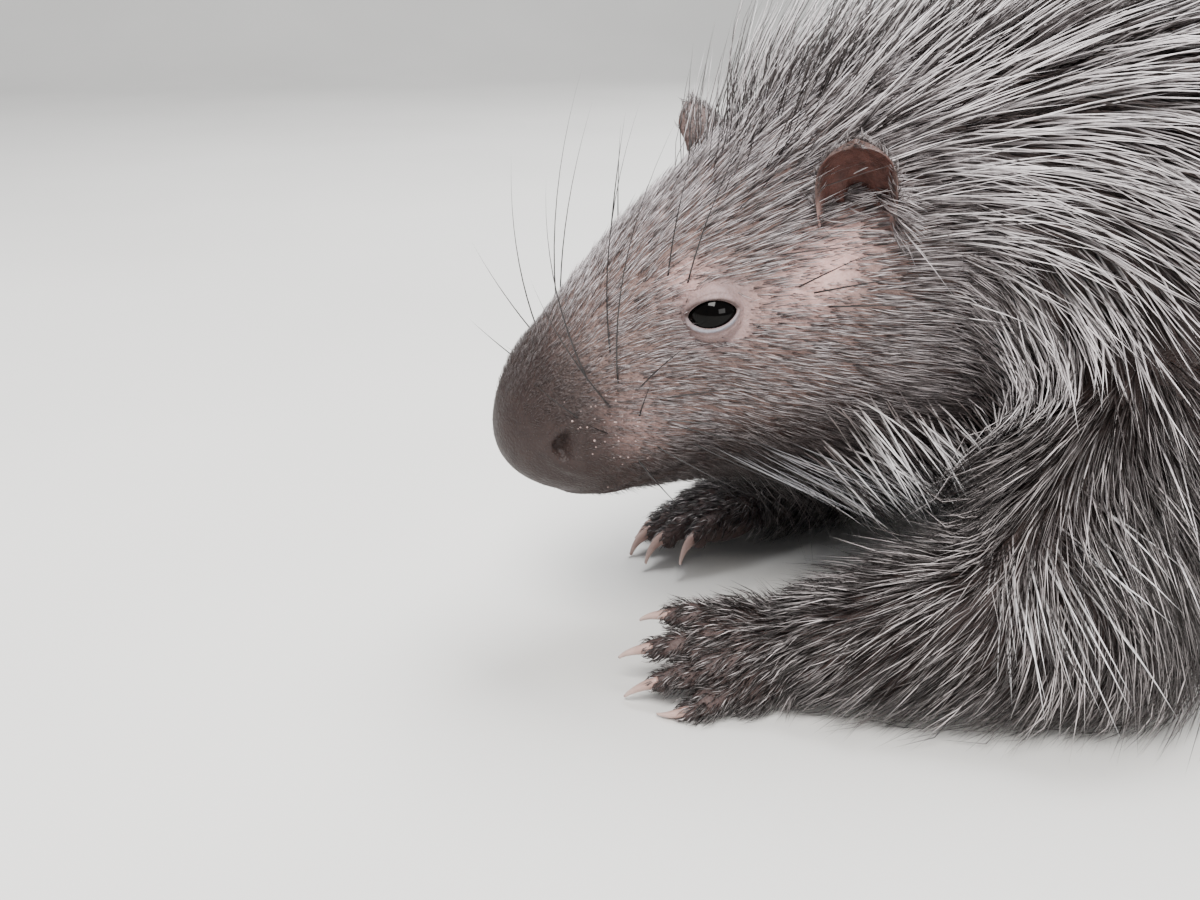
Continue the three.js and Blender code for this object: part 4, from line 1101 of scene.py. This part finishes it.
class Ground:
    """The skin as the ground that the coat grows on."""

    def __init__(self, skin):
        points, self.triangles, self.normals = read_mesh(skin)
        self.points = points - SHIFT
        a, b, c = (self.points[self.triangles[:, k]] for k in range(3))
        self.areas = np.linalg.norm(np.cross(b - a, c - a), axis=1) / 2
        self.centres = (a + b + c) / 3
        self.facing = unit(np.cross(b - a, c - a))
        self.s, self.angle, self.lift = body_place(self.centres)
        self.turn = np.abs(self.angle)
        self.hollow = ear_inside(self.centres, self.facing)
        self.tree = BVHTree.FromPolygons([tuple(p) for p in self.points], self.triangles.tolist())
        self.find_limbs()
        by_ear = (self.s > 0.09) & (self.s < 0.15) & (self.turn < 105)
        self.ear = (self.limb < 0) & (self.lift > 0.0025) & by_ear
        self.trunk = (self.limb < 0) & ~self.ear
        self.upper_arm = (self.limb >= 0) & (self.centres[:, 2] > 0.045)

    def find_limbs(self):
        """Which limb each face of the skin belongs to, and how near it is to a foot or a join."""
        self.limb = np.full(len(self.centres), -1)
        nearest = np.full(len(self.centres), 1.0)
        over_legs = np.zeros(len(self.centres))
        for i, leg in enumerate(LEGS):
            clear = limb_clearance(self.centres, leg, LEG_DEPTH)[0]
            mine = (clear < 0.006) & (clear < nearest) & (self.lift > 0.001)
            self.limb[mine] = i
            nearest = np.where(mine, clear, nearest)
            over_legs = np.maximum(over_legs, 1 - smooth(clear, 0.004, 0.018))
        self.join = (1 - smooth(self.lift + COAT_DEPTH, 0.004, 0.018)) * over_legs
        self.near_foot = np.zeros(len(self.centres))
        for i, leg in enumerate(LEGS):
            away = np.linalg.norm(self.centres - leg["at"], axis=1)
            self.limb[(away < 0.045) & (self.limb < 0) & (self.lift > 0.001)] = i
            self.near_foot = np.maximum(self.near_foot, 1 - smooth(away, 0.02, 0.05))

    def scatter(self, count, density):
        """Seeded roots on the skin, the denser, the more, with all that their hairs depend on."""
        weight = self.areas * density
        pick = np.sort(rng.choice(len(weight), count, p=weight / weight.sum()))
        u, v = rng.random(count), rng.random(count)
        flip = u + v > 1
        u, v = np.where(flip, 1 - u, u), np.where(flip, 1 - v, v)
        corners = self.triangles[pick]
        w = np.stack([1 - u - v, u, v], -1)
        places = np.einsum("nk,nkd->nd", w, self.points[corners])
        s, angle, lift = body_place(places)
        return SimpleNamespace(count=count, places=places, s=s, angle=angle, turn=np.abs(angle), lift=lift,
                               normals=unit(np.einsum("nk,nkd->nd", w, self.normals[corners])),
                               limb=self.limb[pick], ear=self.ear[pick], feet=self.near_foot[pick] > 0.05)

    def above(self, points, lifts, feet):
        """The points moved to heights over body and legs; those of the feet over the skin itself."""
        step = 0.001
        height = coat_height(points)
        slope = np.stack([coat_height(points + move) - height for move in step * np.eye(3)], -1) / step
        slope = slope / np.maximum(np.sum(slope * slope, 1, keepdims=True), 0.25)
        out = points + slope * (lifts - height)[:, None]
        out += slope * (lifts - coat_height(out))[:, None]
        for i in np.flatnonzero(feet):
            near, normal, _, _ = self.tree.find_nearest(Vector(points[i]))
            out[i] = near + normal * float(lifts[i])
            slope[i] = normal
        return out, unit(slope)


def coat_height(points):
    """Height over the skin of body and legs, melted together where the coat covers the joins."""
    s, _, lift = body_place(points)
    height = lift + skin_depth(s)
    for leg in LEGS:
        near = np.linalg.norm(points - leg["rows"]["upper"][1][:3], axis=1) < 0.19
        clear = limb_clearance(points[near], leg, LEG_DEPTH)[0]
        height[near] = melt(height[near], clear, 0.026)
    return height


def skirt(s, turn):
    """The band of white bristles that hangs from the side of the neck."""
    return between(s, 0.115, 0.150, 0.170, 0.205) * between(turn, 78, 96, 128, 145)


def drooping(s, angle, droop):
    """Directions at places of the body: backward with a droop down the flanks, round it, and outward."""
    ahead, around, normal = body_axes(s, angle)
    down = np.radians(droop * np.sin(np.radians(np.minimum(np.abs(angle), 100) * 0.9)))
    flow = ahead * np.cos(down)[:, None] + around * (np.sign(angle) * np.sin(down))[:, None]
    return flow, around, normal


def bowed(roots, way, long, t, bow):
    """Paths that leave their roots straight and bow more and more to one side."""
    straight = roots[:, None] + way[:, None] * (long[:, None] * t)[..., None]
    return straight + np.array(bow) * (long[:, None] * t**2)[..., None]


def lie_of_coat(roots):
    """Direction of the coat at roots on the skin."""
    flow = drooping(roots.s, roots.angle, mix(DROOP_HEAD, DROOP_TRUNK, smooth(roots.s, 0.12, 0.2)))[0]
    throat = smooth(roots.turn, 110, 140) * smooth(roots.s, 0.04, 0.08)
    hanging = 1.1 * skirt(roots.s, roots.turn) + 0.5 * throat
    trunk_flow = unit(flow + np.array([0, 0, -1.0]) * hanging[:, None])
    flow = trunk_flow.copy()
    upper = smooth(roots.places[:, 2], 0.030, 0.090)[:, None]
    for leg in LEGS:
        clear, way = limb_clearance(roots.places, leg, LEG_DEPTH)
        share = smooth(roots.lift + COAT_DEPTH - clear, -0.022, 0.022)[:, None]
        down_leg = unit(way + np.array([0, 0, -0.40]))
        flow = mix(flow, mix(down_leg, unit(trunk_flow + np.array([0, 0, -0.5])), upper), share)
    flow[roots.ear] = np.array([0.15, 0, 1.0])
    return unit(flow - roots.normals * np.sum(flow * roots.normals, 1, keepdims=True))


def root_uv(s, angle, limb, places):
    """Place of a root on the unwrapped skin: the trunk on the left, the legs in strips on the right."""
    u = 0.02 + 0.74 * s / BODY_END
    v = 0.02 + 0.95 * (angle + 180) / 360
    for i, leg in enumerate(LEGS):
        mine = limb == i
        offset = places[mine] - leg["at"]
        u = np.where(mine, 0, u)
        u[mine] = 0.80 + 0.17 * np.clip(np.linalg.norm(offset, axis=1) / 0.2, 0, 1)
        around = np.arctan2(offset[:, 2] - 0.02, offset[:, 1]) / (2 * math.pi) + 0.5
        v[mine] = 0.02 + 0.24 * i + 0.22 * around
    return np.stack([u, v], -1)


def grow(ground, name, count, density, length, radius, rise, tone, material, steps=2, clump=0.006,
         gather=0.35, wild=0.10, comb=False, parts=1):
    """A layer of coat: hairs with seeded roots, laid along the coat's direction and gathered in tufts.

    Length, radius and rise are numbers or functions of the roots, and tone is a function of them.
    """
    roots = ground.scatter(count, density)
    length, radius, rise = (value if callable(value) else lambda _, value=value: value
                            for value in (length, radius, rise))
    places, normals = roots.places, roots.normals
    flow = lie_of_coat(roots)
    side = np.cross(normals, flow)
    cell = np.floor(places / clump)
    sway = (hashed(cell, 1) - 0.5) * 2 * wild + rng.normal(0, wild * 0.5, count)
    flow = unit(flow + side * sway[:, None])
    long = length(roots) * (1 + rng.normal(0, LONG_VARIES, count)) * mix(*TUFT_LONG, hashed(cell, 2))
    long = np.maximum(long, SHORTEST)
    lift = rise(roots) * long * (1 + rng.normal(0, RISE_VARIES, count)) * mix(*TUFT_RISE, hashed(cell, 3))
    pale = np.clip(tone(roots), 0, 1)
    thick = radius(roots) * (1 + rng.normal(0, THICK_VARIES, count)) * mix(DARK_THICK, PALE_THICK, pale)
    pull = (cell + 0.5) * clump - places
    pull -= normals * np.sum(pull * normals, 1, keepdims=True)
    pull -= flow * np.sum(pull * flow, 1, keepdims=True)
    t = np.linspace(0, 1, steps + 1)
    paths = np.empty((count, steps + 1, 3))
    paths[:, 0] = places - normals * ROOT_SUNK
    point, way = places, flow
    for k in range(1, steps + 1):
        height = lift * t[k] ** 0.8
        if comb:
            gathered = pull * gather * (t[k] ** 1.5 - t[k - 1] ** 1.5)
            run = way * (long * (t[k] - t[k - 1]))[:, None] + gathered
            point, out = ground.above(point + run, height, roots.feet)
            way = unit(way - out * np.sum(way * out, 1, keepdims=True))
            paths[:, k] = point
        else:
            run = flow * (long * t[k])[:, None] + pull * gather * t[k] ** 1.5
            sag = (long * t[k]) ** 2 / 2 / 0.05
            paths[:, k] = places + run + normals * (height - sag * 0.6)[:, None]
    paths[..., 2] = np.maximum(paths[..., 2], HAIR_FLOOR)
    widths = thick[:, None] * read_off(HAIR_TAPER, t)
    uv = root_uv(roots.s, roots.angle, roots.limb, places)
    runs = unit(np.diff(paths, axis=1))
    bends = np.sum(runs[:, 1:] * runs[:, :-1], -1)
    order = np.flatnonzero(bends.min(1) > SHARPEST_BEND)
    for part in range(parts):
        mine = order[part::parts]
        piece = strands(f"{name}_{part + 1}" if parts > 1 else name, paths[mine], widths[mine], normals[mine],
                        pale[mine], uv[mine], material)


def bare_places(s, angle):
    """How bare the face is: 1 on the nose's front, round the eyes and on the pink places."""
    turn = np.abs(angle)
    eye_away = from_eye(s, turn, FACE_RADIUS * 1.25)
    bare = np.maximum(1 - smooth(eye_away, 0.0085, 0.0135), markings(s, angle)["pink"] * 0.8)
    edge = mix(0.010, 0.026, smooth(turn, 50, 85))
    return np.clip(np.maximum(bare, 1 - smooth(s, edge * 0.4, edge * 1.3)), 0, 1)


def grow_face_fur(ground):
    """Short fur of the face, shorter and sparser on its bare places."""

    def long(at):
        beard = smooth(at.turn, 115, 145) * smooth(at.s, 0.03, 0.06)
        by_ear = spot(at.s, at.turn, 0.104, 76, 0.015, 13)
        fur = read_off(FACE_LONG, at.s) * mix(1, 1.5, beard) * (1 - 0.65 * by_ear)
        return fur * mix(1, 0.5, bare_places(at.s, at.angle)) * np.where(at.ear, 0.28, 1)

    def tone(at):
        # Fewer pale hairs under the head: partly darker fur there, partly painted shade under the jaw and
        # throat.
        under = smooth(at.turn, 92, 122)
        behind_nose = mix(0.12, 1.0, smooth(at.s, 0.018, 0.045))
        return rng.random(at.count) ** 1.5 * mix(1.0, 0.10, under) * behind_nose * np.where(at.ear, 0.35, 1)

    s = ground.s
    furry = mix(0.10, 1.0, 1 - bare_places(s, ground.angle)) * (from_eye(s, ground.turn) > EYE_WIDE)
    face = ground.trunk * (1 - smooth(s, 0.140, 0.160)) * furry
    face = face * mix(2.4, 1.0, smooth(s, 0.02, 0.07)) + ground.ear * 0.8 * (1 - ground.hollow)
    look = coat_material("fur_face", (0.036, 0.026, 0.024), (0.036, 0.026, 0.024), (0.62, 0.56, 0.56),
                         (0.90, 0.86, 0.88), 0.38)
    grow(ground, "face_fur", FACE_HAIRS, face, long, lambda at: read_off(FACE_THICK, at.s),
         lambda at: read_off(FACE_RISE, at.s), tone, look, clump=0.0045, parts=3)


def grow_bristles(ground, look):
    """Long bristles from the crown over neck, shoulders and flanks to the rump."""

    def long(at):
        throat = smooth(at.turn, 110, 135) * (1 - smooth(at.s, 0.16, 0.24))
        crest = spot(at.s, at.angle, 0.105, 0, 0.028, 62)
        body = mix(read_off(BRISTLE_LONG, at.s) * mix(1, 0.8, smooth(at.turn, 100, 150)), 0.030, throat)
        body = body * mix(1, 0.75, skirt(at.s, at.turn)) * mix(1, 1.25, crest)
        arm = mix(0.022, 0.040, smooth(at.places[:, 2], 0.04, 0.11))
        return np.where(at.limb >= 0, arm, body)

    def rise(at):
        top = 1 - smooth(at.turn, 20, 75)
        under = smooth(at.turn, 110, 135)
        return mix(0.22, 0.60, np.maximum(top, under * 0.6)) * read_off(BRISTLE_RISE, at.s)

    def tone(at):
        share = mix(0.82, 0.20, smooth(at.s, 0.170, 0.250)) * mix(1, 0.20, smooth(at.turn, 78, 100))
        share = share * mix(0.45, 1, smooth(at.turn, 15, 60))
        share = np.maximum(share, 0.70 * skirt(at.s, at.turn))
        share = np.where(at.limb >= 0, mix(0.04, 0.10, smooth(at.places[:, 2], 0.05, 0.11)), share)
        # Fewer pale bristles on the throat and belly: partly darker coat, partly painted shade under the
        # body.
        share = share * mix(1, 0.2, smooth(at.turn, 122, 145) * (at.limb < 0))
        white = rng.random(at.count) < share
        pale = np.where(white, rng.uniform(0.55, 1.0, at.count), rng.uniform(0.0, 0.08, at.count))
        return pale * mix(0.7, 1, smooth(at.s, 0.08, 0.12))

    s, turn = ground.s, ground.turn
    crown = smooth(s, 0.075, 0.125) * (1 - smooth(turn, 40, 75))
    throat = smooth(s, 0.045, 0.075) * smooth(turn, 118, 135)
    where = np.maximum(np.maximum(crown, smooth(s, 0.115, 0.150)), throat)
    where = where * mix(1, 0.8, smooth(turn, 120, 150))
    near_ear = np.maximum(spot(s, turn, 0.106, 72, 0.02, 24), ground.hollow)
    root_of_ear = (ground.lift > -0.0012) & (s > 0.100) & (s < 0.140) & (turn > 50) & (turn < 95)
    near_ear = np.maximum(near_ear, root_of_ear)
    where = (ground.trunk | ground.upper_arm) * where * (1 - 0.9 * near_ear)
    where = where * (1 - 0.8 * markings(s, ground.angle)["pink"]) * (1 - 0.95 * ground.join)
    grow(ground, "bristles", BRISTLES, where, long,
         lambda at: read_off(BRISTLE_THICK, at.s) * mix(1, 1.3, skirt(at.s, at.turn)),
         rise, tone, look, steps=3, clump=0.009, gather=0.30, wild=0.17, comb=True, parts=3)


def grow_leg_hair(ground):
    """Coarse dark hair of the legs, short on the feet, with pale hairs in front of the elbow that are partly
    real pale hairs and partly painted highlights.
    """

    def long(at):
        hair = np.full(at.count, 0.019)
        for i, leg in enumerate(LEGS):
            ahead = (at.places - leg["at"]) @ leg["axes"][0]
            hair = np.where(at.limb == i, read_off(LEG_LONG, ahead), hair)
        return hair

    def tone(at):
        behind = smooth(at.places[:, 0], 0.14, 0.20)
        # More pale hairs higher up the forearm: partly real pale hairs, partly painted highlights that stand
        # in for glints on the hair.
        share = mix(0.05, 0.26, smooth(at.places[:, 2], 0.02, 0.05)) * mix(1, 0.2, behind)
        white = rng.random(at.count) < share
        return np.where(white, rng.uniform(0.4, 1, at.count), rng.random(at.count) ** 4 * 0.4)

    top = smooth(ground.facing[:, 2], -0.75, -0.1)
    for i, leg in enumerate(LEGS):
        back_of_foot = smooth(ground.facing @ leg["axes"][2], -0.45, 0.15)
        top = np.where(ground.limb == i, mix(top, back_of_foot, ground.near_foot), top)
    where = (ground.limb >= 0) * top * (1 + ground.near_foot * 1.2) * (1 - 0.6 * ground.join)
    # The pale shaft and tip colours are made bright: partly real pale hairs, partly painted highlights for
    # glints on the hair.
    look = coat_material("leg_hair_dark", (0.010, 0.007, 0.006), (0.013, 0.009, 0.008), (0.76, 0.69, 0.68),
                         (0.88, 0.84, 0.83), 0.34)
    grow(ground, "leg_fur", LEG_HAIRS, where, long, LEG_THICK, LEG_RISE, tone, look, clump=0.0055, gather=0.5,
         wild=0.18, comb=True, parts=2)


def make_coat(ground):
    bristle_look = coat_material("bristle_grey", (0.010, 0.007, 0.006), (0.017, 0.011, 0.010),
                                 (0.94, 0.875, 0.88), (0.99, 0.95, 0.965), 0.32)
    under_look = coat_material("underfur_brown", (0.010, 0.007, 0.006), (0.024, 0.015, 0.013),
                               (0.065, 0.042, 0.037), (0.10, 0.066, 0.058), 0.55)
    grow_face_fur(ground)
    grow_bristles(ground, bristle_look)
    grow(ground, "underfur", UNDERFUR_HAIRS, ground.trunk * smooth(ground.s, 0.12, 0.17),
         lambda at: read_off(UNDERFUR_LONG, at.s), UNDERFUR_THICK, UNDERFUR_RISE,
         lambda at: rng.random(at.count) ** 2, under_look)
    grow_leg_hair(ground)
    low = between(ground.turn, 80, 100, 125, 140) * between(ground.s, 0.17, 0.22, 0.5, 0.6)
    guard = (ground.trunk | ground.upper_arm) * np.maximum(low, 0.15 * smooth(ground.s, 0.14, 0.2))
    grow(ground, "guard_hairs", GUARD_HAIRS, guard, GUARD_LONG, GUARD_THICK, GUARD_RISE,
         lambda at: rng.uniform(0.8, 1, at.count), bristle_look, steps=5, clump=0.03, gather=0.1, wild=0.22,
         comb=True)


def make_ruff(ground):
    """Thick white and black bristles that hang from the side of the neck over the forearm."""
    count = RUFF_BRISTLES
    x, y, z = ground.centres.T
    toward = np.stack([np.full(len(x), -0.5), np.sign(y), np.full(len(x), -0.1)], -1)
    open_ = smooth(np.sum(ground.facing * toward, 1), 0.0, 0.5)
    band = between(x, 0.085, 0.110, 0.165, 0.190) * between(z, 0.046, 0.062, 0.092, 0.108)
    front = smooth(-ground.facing[:, 0], 0.30, 0.65) * (1 - smooth(x, 0.140, 0.162))
    band = band * np.where(ground.limb >= 0, front, 1)
    roots = ground.scatter(count, open_ * band * ~ground.ear)
    normals = roots.normals
    way = np.stack([rng.normal(middle, spread, count) for middle, spread in RUFF_WAY], -1)
    way[:, 1] *= np.sign(roots.places[:, 1])
    way -= normals * (np.sum(way * normals, 1) * 0.85)[:, None]
    way = unit(unit(way) + normals * rng.uniform(0.22, 0.42, count)[:, None])
    long = rng.uniform(*RUFF_LONG, count)
    t = np.linspace(0, 1, 5)
    paths = bowed(roots.places, way, long, t, RUFF_BOW)
    pale = np.where(rng.random(count) < 0.62, rng.uniform(0.7, 1.0, count), rng.uniform(0.0, 0.06, count))
    thick = rng.uniform(*RUFF_THICK, count) * mix(0.8, 1.1, pale)
    widths = thick[:, None] * read_off(RUFF_TAPER, t)
    uv = root_uv(roots.s, roots.angle, roots.limb, roots.places)
    look = coat_material("ruff_white", (0.14, 0.11, 0.105), (0.017, 0.011, 0.010), (0.88, 0.86, 0.86),
                         (0.97, 0.96, 0.97), 0.3)
    piece = strands("ruff", paths, widths, normals, pale, uv, look, sides=4)


# Quills, tail and whiskers

# First and last station of the quills, and their lengths and reach in degrees there
QUILL_STATIONS, QUILL_LONG, QUILL_REACH = (0.336, 0.650), (0.085, 0.190), (62, 112)
QUILL_THICK, QUILL_LIFT, QUILL_BOW = (0.0011, 0.0018), (15, 14), (0, 0, -0.06)
RATTLE_LONG, RATTLE_RADIUS = (0.030, 0.048), 0.0026


def make_quills(look):
    """Banded quills over the hind back, lying backward, longest at the rump."""
    count = QUILLS
    first, last = QUILL_STATIONS
    s = first + (last - first) * rng.random(count) ** 0.85
    share = (s - first) / (last - first)
    angle = rng.uniform(-1, 1, count) * mix(*QUILL_REACH, share**4)
    long = mix(*QUILL_LONG, share**0.8) * (1 + np.clip(rng.normal(0, 0.10, count), -0.25, 0.02))
    lift = np.radians(mix(*QUILL_LIFT, share) + rng.normal(0, 4, count))
    flow, around, normal = drooping(s, angle, DROOP_QUILLS)
    flow = unit(flow + around * rng.normal(0, 0.07, count)[:, None])
    way = flow * np.cos(lift)[:, None] + normal * np.sin(lift)[:, None]
    root = body_point(s, angle, -0.004)
    t = np.linspace(0, 1, 7)
    paths = bowed(root, way, long, t, QUILL_BOW)
    paths[..., 2] = np.maximum(paths[..., 2], QUILL_FLOOR)
    thick = rng.uniform(*QUILL_THICK, count)
    widths = thick[:, None] * np.interp(t, [0, 0.12, 0.4, 0.8, 1], [0.45, 0.9, 1.0, 0.55, 0.0])
    uv = root_uv(s, angle, np.full(count, -1), root)
    piece = strands("quills", paths, widths, normal, np.zeros(count), uv, look, sides=6)


def make_tail_quills(look):
    """White rattle quills: thin stalks that widen to open, blunt ends."""
    count = RATTLE_QUILLS
    root, tip, back, side, lift = tail_axes()
    turn = rng.uniform(0, 2 * math.pi, count)
    out = circle(turn, side, lift)
    start = root + (tip - root) * rng.uniform(0.45, 1.05, count)[:, None] + out * (TAIL_THIN * 0.7)
    long = rng.uniform(*RATTLE_LONG, count)
    t = np.array([0, 0.25, 0.45, 0.6, 0.85, 0.97, 1.0])
    way = unit(back + out * rng.uniform(0.15, 0.42, count)[:, None])
    paths = bowed(start, way, long, t, (0, 0, 0))
    paths[..., 2] = np.maximum(paths[..., 2], QUILL_FLOOR)
    widths = RATTLE_RADIUS * np.interp(t, [0, 0.25, 0.45, 0.6, 0.97, 1], [0.3, 0.35, 0.6, 1, 0.85, 0])
    widths = np.tile(widths, (count, 1)) * rng.uniform(0.7, 1.1, (count, 1))
    uv = np.stack([0.78 + 0.01 * rng.random(count), turn / 7], -1)
    piece = strands("rattle_quills", paths, widths, out, np.ones(count), uv, look, sides=6)

# Whiskers of the left side: root station and angle, then the way they go as shares of back, up and
# outward, length, and how far they bend backward
WHISKERS = [
    (0.030, 78, -0.55, 0.70, 0.45, 0.062, 0.15),
    (0.034, 70, -0.10, 0.92, 0.35, 0.085, 0.30),
    (0.038, 76, 0.42, 0.62, 0.50, 0.028, 0.20),
    (0.042, 84, 0.85, 0.22, 0.45, 0.034, 0.10),
    (0.040, 92, 0.90, -0.02, 0.42, 0.026, 0.05),
    (0.044, 99, 0.92, -0.16, 0.40, 0.030, 0.05),
    (0.022, 76, -0.62, 0.55, 0.50, 0.030, 0.10),
    (0.026, 88, -0.50, 0.45, 0.62, 0.022, 0.05),
    (0.035, 88, 0.05, 0.80, 0.50, 0.020, 0.05),
    (0.036, 104, 0.70, -0.30, 0.60, 0.036, 0.10),
    (0.045, 108, 0.85, -0.42, 0.40, 0.050, 0.15),
    (0.030, 108, 0.45, -0.45, 0.70, 0.028, 0.10),
    (0.028, 60, -0.42, 0.85, 0.30, 0.070, 0.25),
    (0.036, 56, -0.15, 0.95, 0.25, 0.078, 0.25),
    (0.066, 47, 0.22, 0.85, 0.42, 0.046, 0.10),
    (0.062, 40, 0.08, 0.92, 0.38, 0.040, 0.10),
    (0.093, 70, 0.70, 0.42, 0.52, 0.026, 0.05),
    (0.096, 74, 0.86, 0.22, 0.45, 0.034, 0.05),
    (0.098, 80, 0.90, 0.10, 0.42, 0.028, 0.05),
]


def make_whiskers():
    rows, tones = [], []
    for side in (1, -1):
        for s, a, back, up, out, long, bend in WHISKERS:
            vary = 1 if side == 1 else rng.uniform(0.85, 1.1)
            rows.append((s, a * side, back, up, out, long * vary, bend))
            tones.append(0.0)
        for _ in range(JAW_WHISKERS):
            s, a = rng.uniform(0.050, 0.085), rng.uniform(112, 138)
            up, out = -0.35 - rng.uniform(0, 0.25), rng.uniform(0.10, 0.35)
            rows.append((s, a * side, 0.9, up, out, rng.uniform(0.038, 0.062), 0.05))
            tones.append(0.9)
    rows, tones = np.array(rows), np.array(tones)
    s, angle, back, up, out, long, bend = rows.T
    ahead, _, normal = body_axes(s, angle)
    world_up = np.array([0, 0, 1.0])
    upward = unit(world_up - normal * (normal @ world_up)[:, None])
    level = unit(ahead * np.array([1, 1, 0.0]))
    level = unit(level - normal * np.sum(level * normal, 1, keepdims=True))
    way = unit(level * back[:, None] + upward * up[:, None] + normal * out[:, None])
    t = np.linspace(0, 1, 12)[None, :, None]
    bow = bend[:, None, None] * level[:, None] * t**2
    paths = body_point(s, angle, -0.001)[:, None] + (way[:, None] * t + bow) * long[:, None, None]
    paths[..., 2] = np.maximum(paths[..., 2], WHISKER_FLOOR)
    thick = np.where(tones > 0.5, 0.00016, 0.00030)
    widths = thick[:, None] * np.interp(t[0, :, 0], [0, 0.3, 1], [1.0, 0.8, 0.0])
    uv = root_uv(s, angle, np.full(len(s), -1), paths[:, 0])
    look = coat_material("whisker_black", (0.010, 0.008, 0.008), (0.012, 0.010, 0.010), (0.45, 0.45, 0.47),
                         (0.6, 0.6, 0.62), 0.3)
    piece = strands("whiskers", paths, widths, normal, tones, uv, look, sides=5)


def make_follicles():
    """Small pale domes on the whisker pads and round the nostrils."""
    rows = []
    for side in (1, -1):
        for _ in range(FOLLICLES):
            s, a = rng.normal(0.030, 0.009), rng.normal(87, 14)
            arc = math.radians(a - NOSTRIL_ANGLE) * 0.02
            nostril = math.hypot((s - NOSTRIL_STATION) / 0.005, arc / 0.006)
            if s < 0.006 or s > 0.045 or nostril < 1:
                continue
            rows.append((s, a * side, rng.uniform(0.00020, 0.00040)))
    s, angle, sizes = np.array(rows).T
    dome = np.linspace(0.25, math.pi * 0.62, 5)
    turn = np.linspace(0, 2 * math.pi, 10, endpoint=False)
    middle = body_point(s, angle, face_detail(s, angle) - skin_depth(s))
    all_points, all_faces = [], []
    for m, x, y, n, size in zip(middle, *body_axes(s, angle), sizes):
        rise = (np.cos(dome) * 0.8)[:, None, None] * n
        points, faces = closed_tube(m + size * (np.sin(dome)[:, None, None] * circle(turn, x, y) + rise))
        all_faces.append(faces + len(all_points) * len(points))
        all_points.append(points)
    piece = mesh_object("follicles", np.concatenate(all_points) + SHIFT, np.concatenate(all_faces),
                        follicle_material())
    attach(piece, "root")


# Floor, light and camera

FLOOR_WIDE, FLOOR_FRONT, WALL_BACK, WALL_HIGH, WALL_SWEEP = 12.0, 8.0, 2.2, 2.4, 0.8


def make_stage():
    """Pale floor that sweeps up to a wall behind."""
    mesh = bpy.data.meshes.new("floor")
    rows = [(-FLOOR_FRONT, 0.0)]
    for t in np.linspace(0, math.pi / 2, 12):
        rows.append((WALL_BACK + WALL_SWEEP * math.sin(t), WALL_SWEEP * (1 - math.cos(t))))
    rows.append((WALL_BACK + WALL_SWEEP, WALL_HIGH))
    points = [(x, y, z) for y, z in rows for x in (-FLOOR_WIDE, FLOOR_WIDE)]
    faces = [(2 * i, 2 * i + 1, 2 * i + 3, 2 * i + 2) for i in range(len(rows) - 1)]
    mesh.from_pydata(points, [], faces)
    smooth_shading(mesh)
    floor = add_object("floor", mesh)
    material, tree, shader = nodes_of("floor_pale")
    tint = ramp(tree, noise(tree, 3, 2), [(0.3, (0.60, 0.59, 0.57)), (0.7, (0.64, 0.63, 0.61))])
    tree.links.new(tint, shader.inputs["Base Color"])
    shader.inputs["Roughness"].default_value = 0.8
    mesh.materials.append(material)


# Lights: name, place, size, power and tint
LIGHTS = [
    ("key", (-0.9, -1.1, 1.6), (0.9, 0.7), 78, (1.0, 0.98, 0.95)),
    ("top", (0.3, 0.3, 1.9), (1.2, 1.2), 84, (0.98, 0.99, 1.0)),
    ("low", (0.25, -1.5, 0.55), (0.8, 0.5), 11, (1.0, 0.98, 0.96)),
    ("rim", (0.9, 1.3, 1.1), (0.9, 0.6), 16, (1.0, 1.0, 1.0)),
]
LIT_PLACE, WORLD_COLOUR, WORLD_STRENGTH = (-0.15, 0, 0.1), (0.80, 0.83, 0.88, 1), 0.60


def make_light():
    world = bpy.data.worlds.new("studio")
    bpy.context.scene.world = world
    world.use_nodes = True
    background = world.node_tree.nodes["Background"]
    background.inputs["Color"].default_value = WORLD_COLOUR
    background.inputs["Strength"].default_value = WORLD_STRENGTH
    for name, place, size, power, tint in LIGHTS:
        light = bpy.data.lights.new(name, "AREA")
        light.shape, light.size, light.size_y = "RECTANGLE", size[0], size[1]
        light.energy, light.color = power, tint
        lamp = add_object(name, light)
        lamp.location = place
        lamp.rotation_euler = (Vector(LIT_PLACE) - Vector(place)).to_track_quat("-Z", "Y").to_euler()


CAMERA_AZIMUTH, CAMERA_ELEVATION, CAMERA_AWAY, CAMERA_LENS = -14.0, 22.0, 0.422, 36.0
CAMERA_TARGET = np.array([0.032, 0, 0.069])


def make_camera():
    camera = bpy.data.cameras.new("camera")
    camera.lens, camera.sensor_width = CAMERA_LENS, 36.0
    camera.clip_start, camera.clip_end = 0.01, 20.0
    stand = add_object("camera", camera)
    a, e = math.radians(CAMERA_AZIMUTH), math.radians(CAMERA_ELEVATION)
    back = Vector((math.sin(a) * math.cos(e), -math.cos(a) * math.cos(e), math.sin(e)))
    stand.location = Vector(CAMERA_TARGET + SHIFT) + back * CAMERA_AWAY
    stand.rotation_euler = (-back).to_track_quat("-Z", "Y").to_euler()
    bpy.context.scene.camera = stand


make_camera()
make_light()
make_stage()
skin = make_skin()
make_eyes()
make_claws()
ground = Ground(skin)
make_coat(ground)
make_ruff(ground)
quill_look = quill_material()
make_quills(quill_look)
make_tail_quills(quill_look)
make_whiskers()
make_follicles()
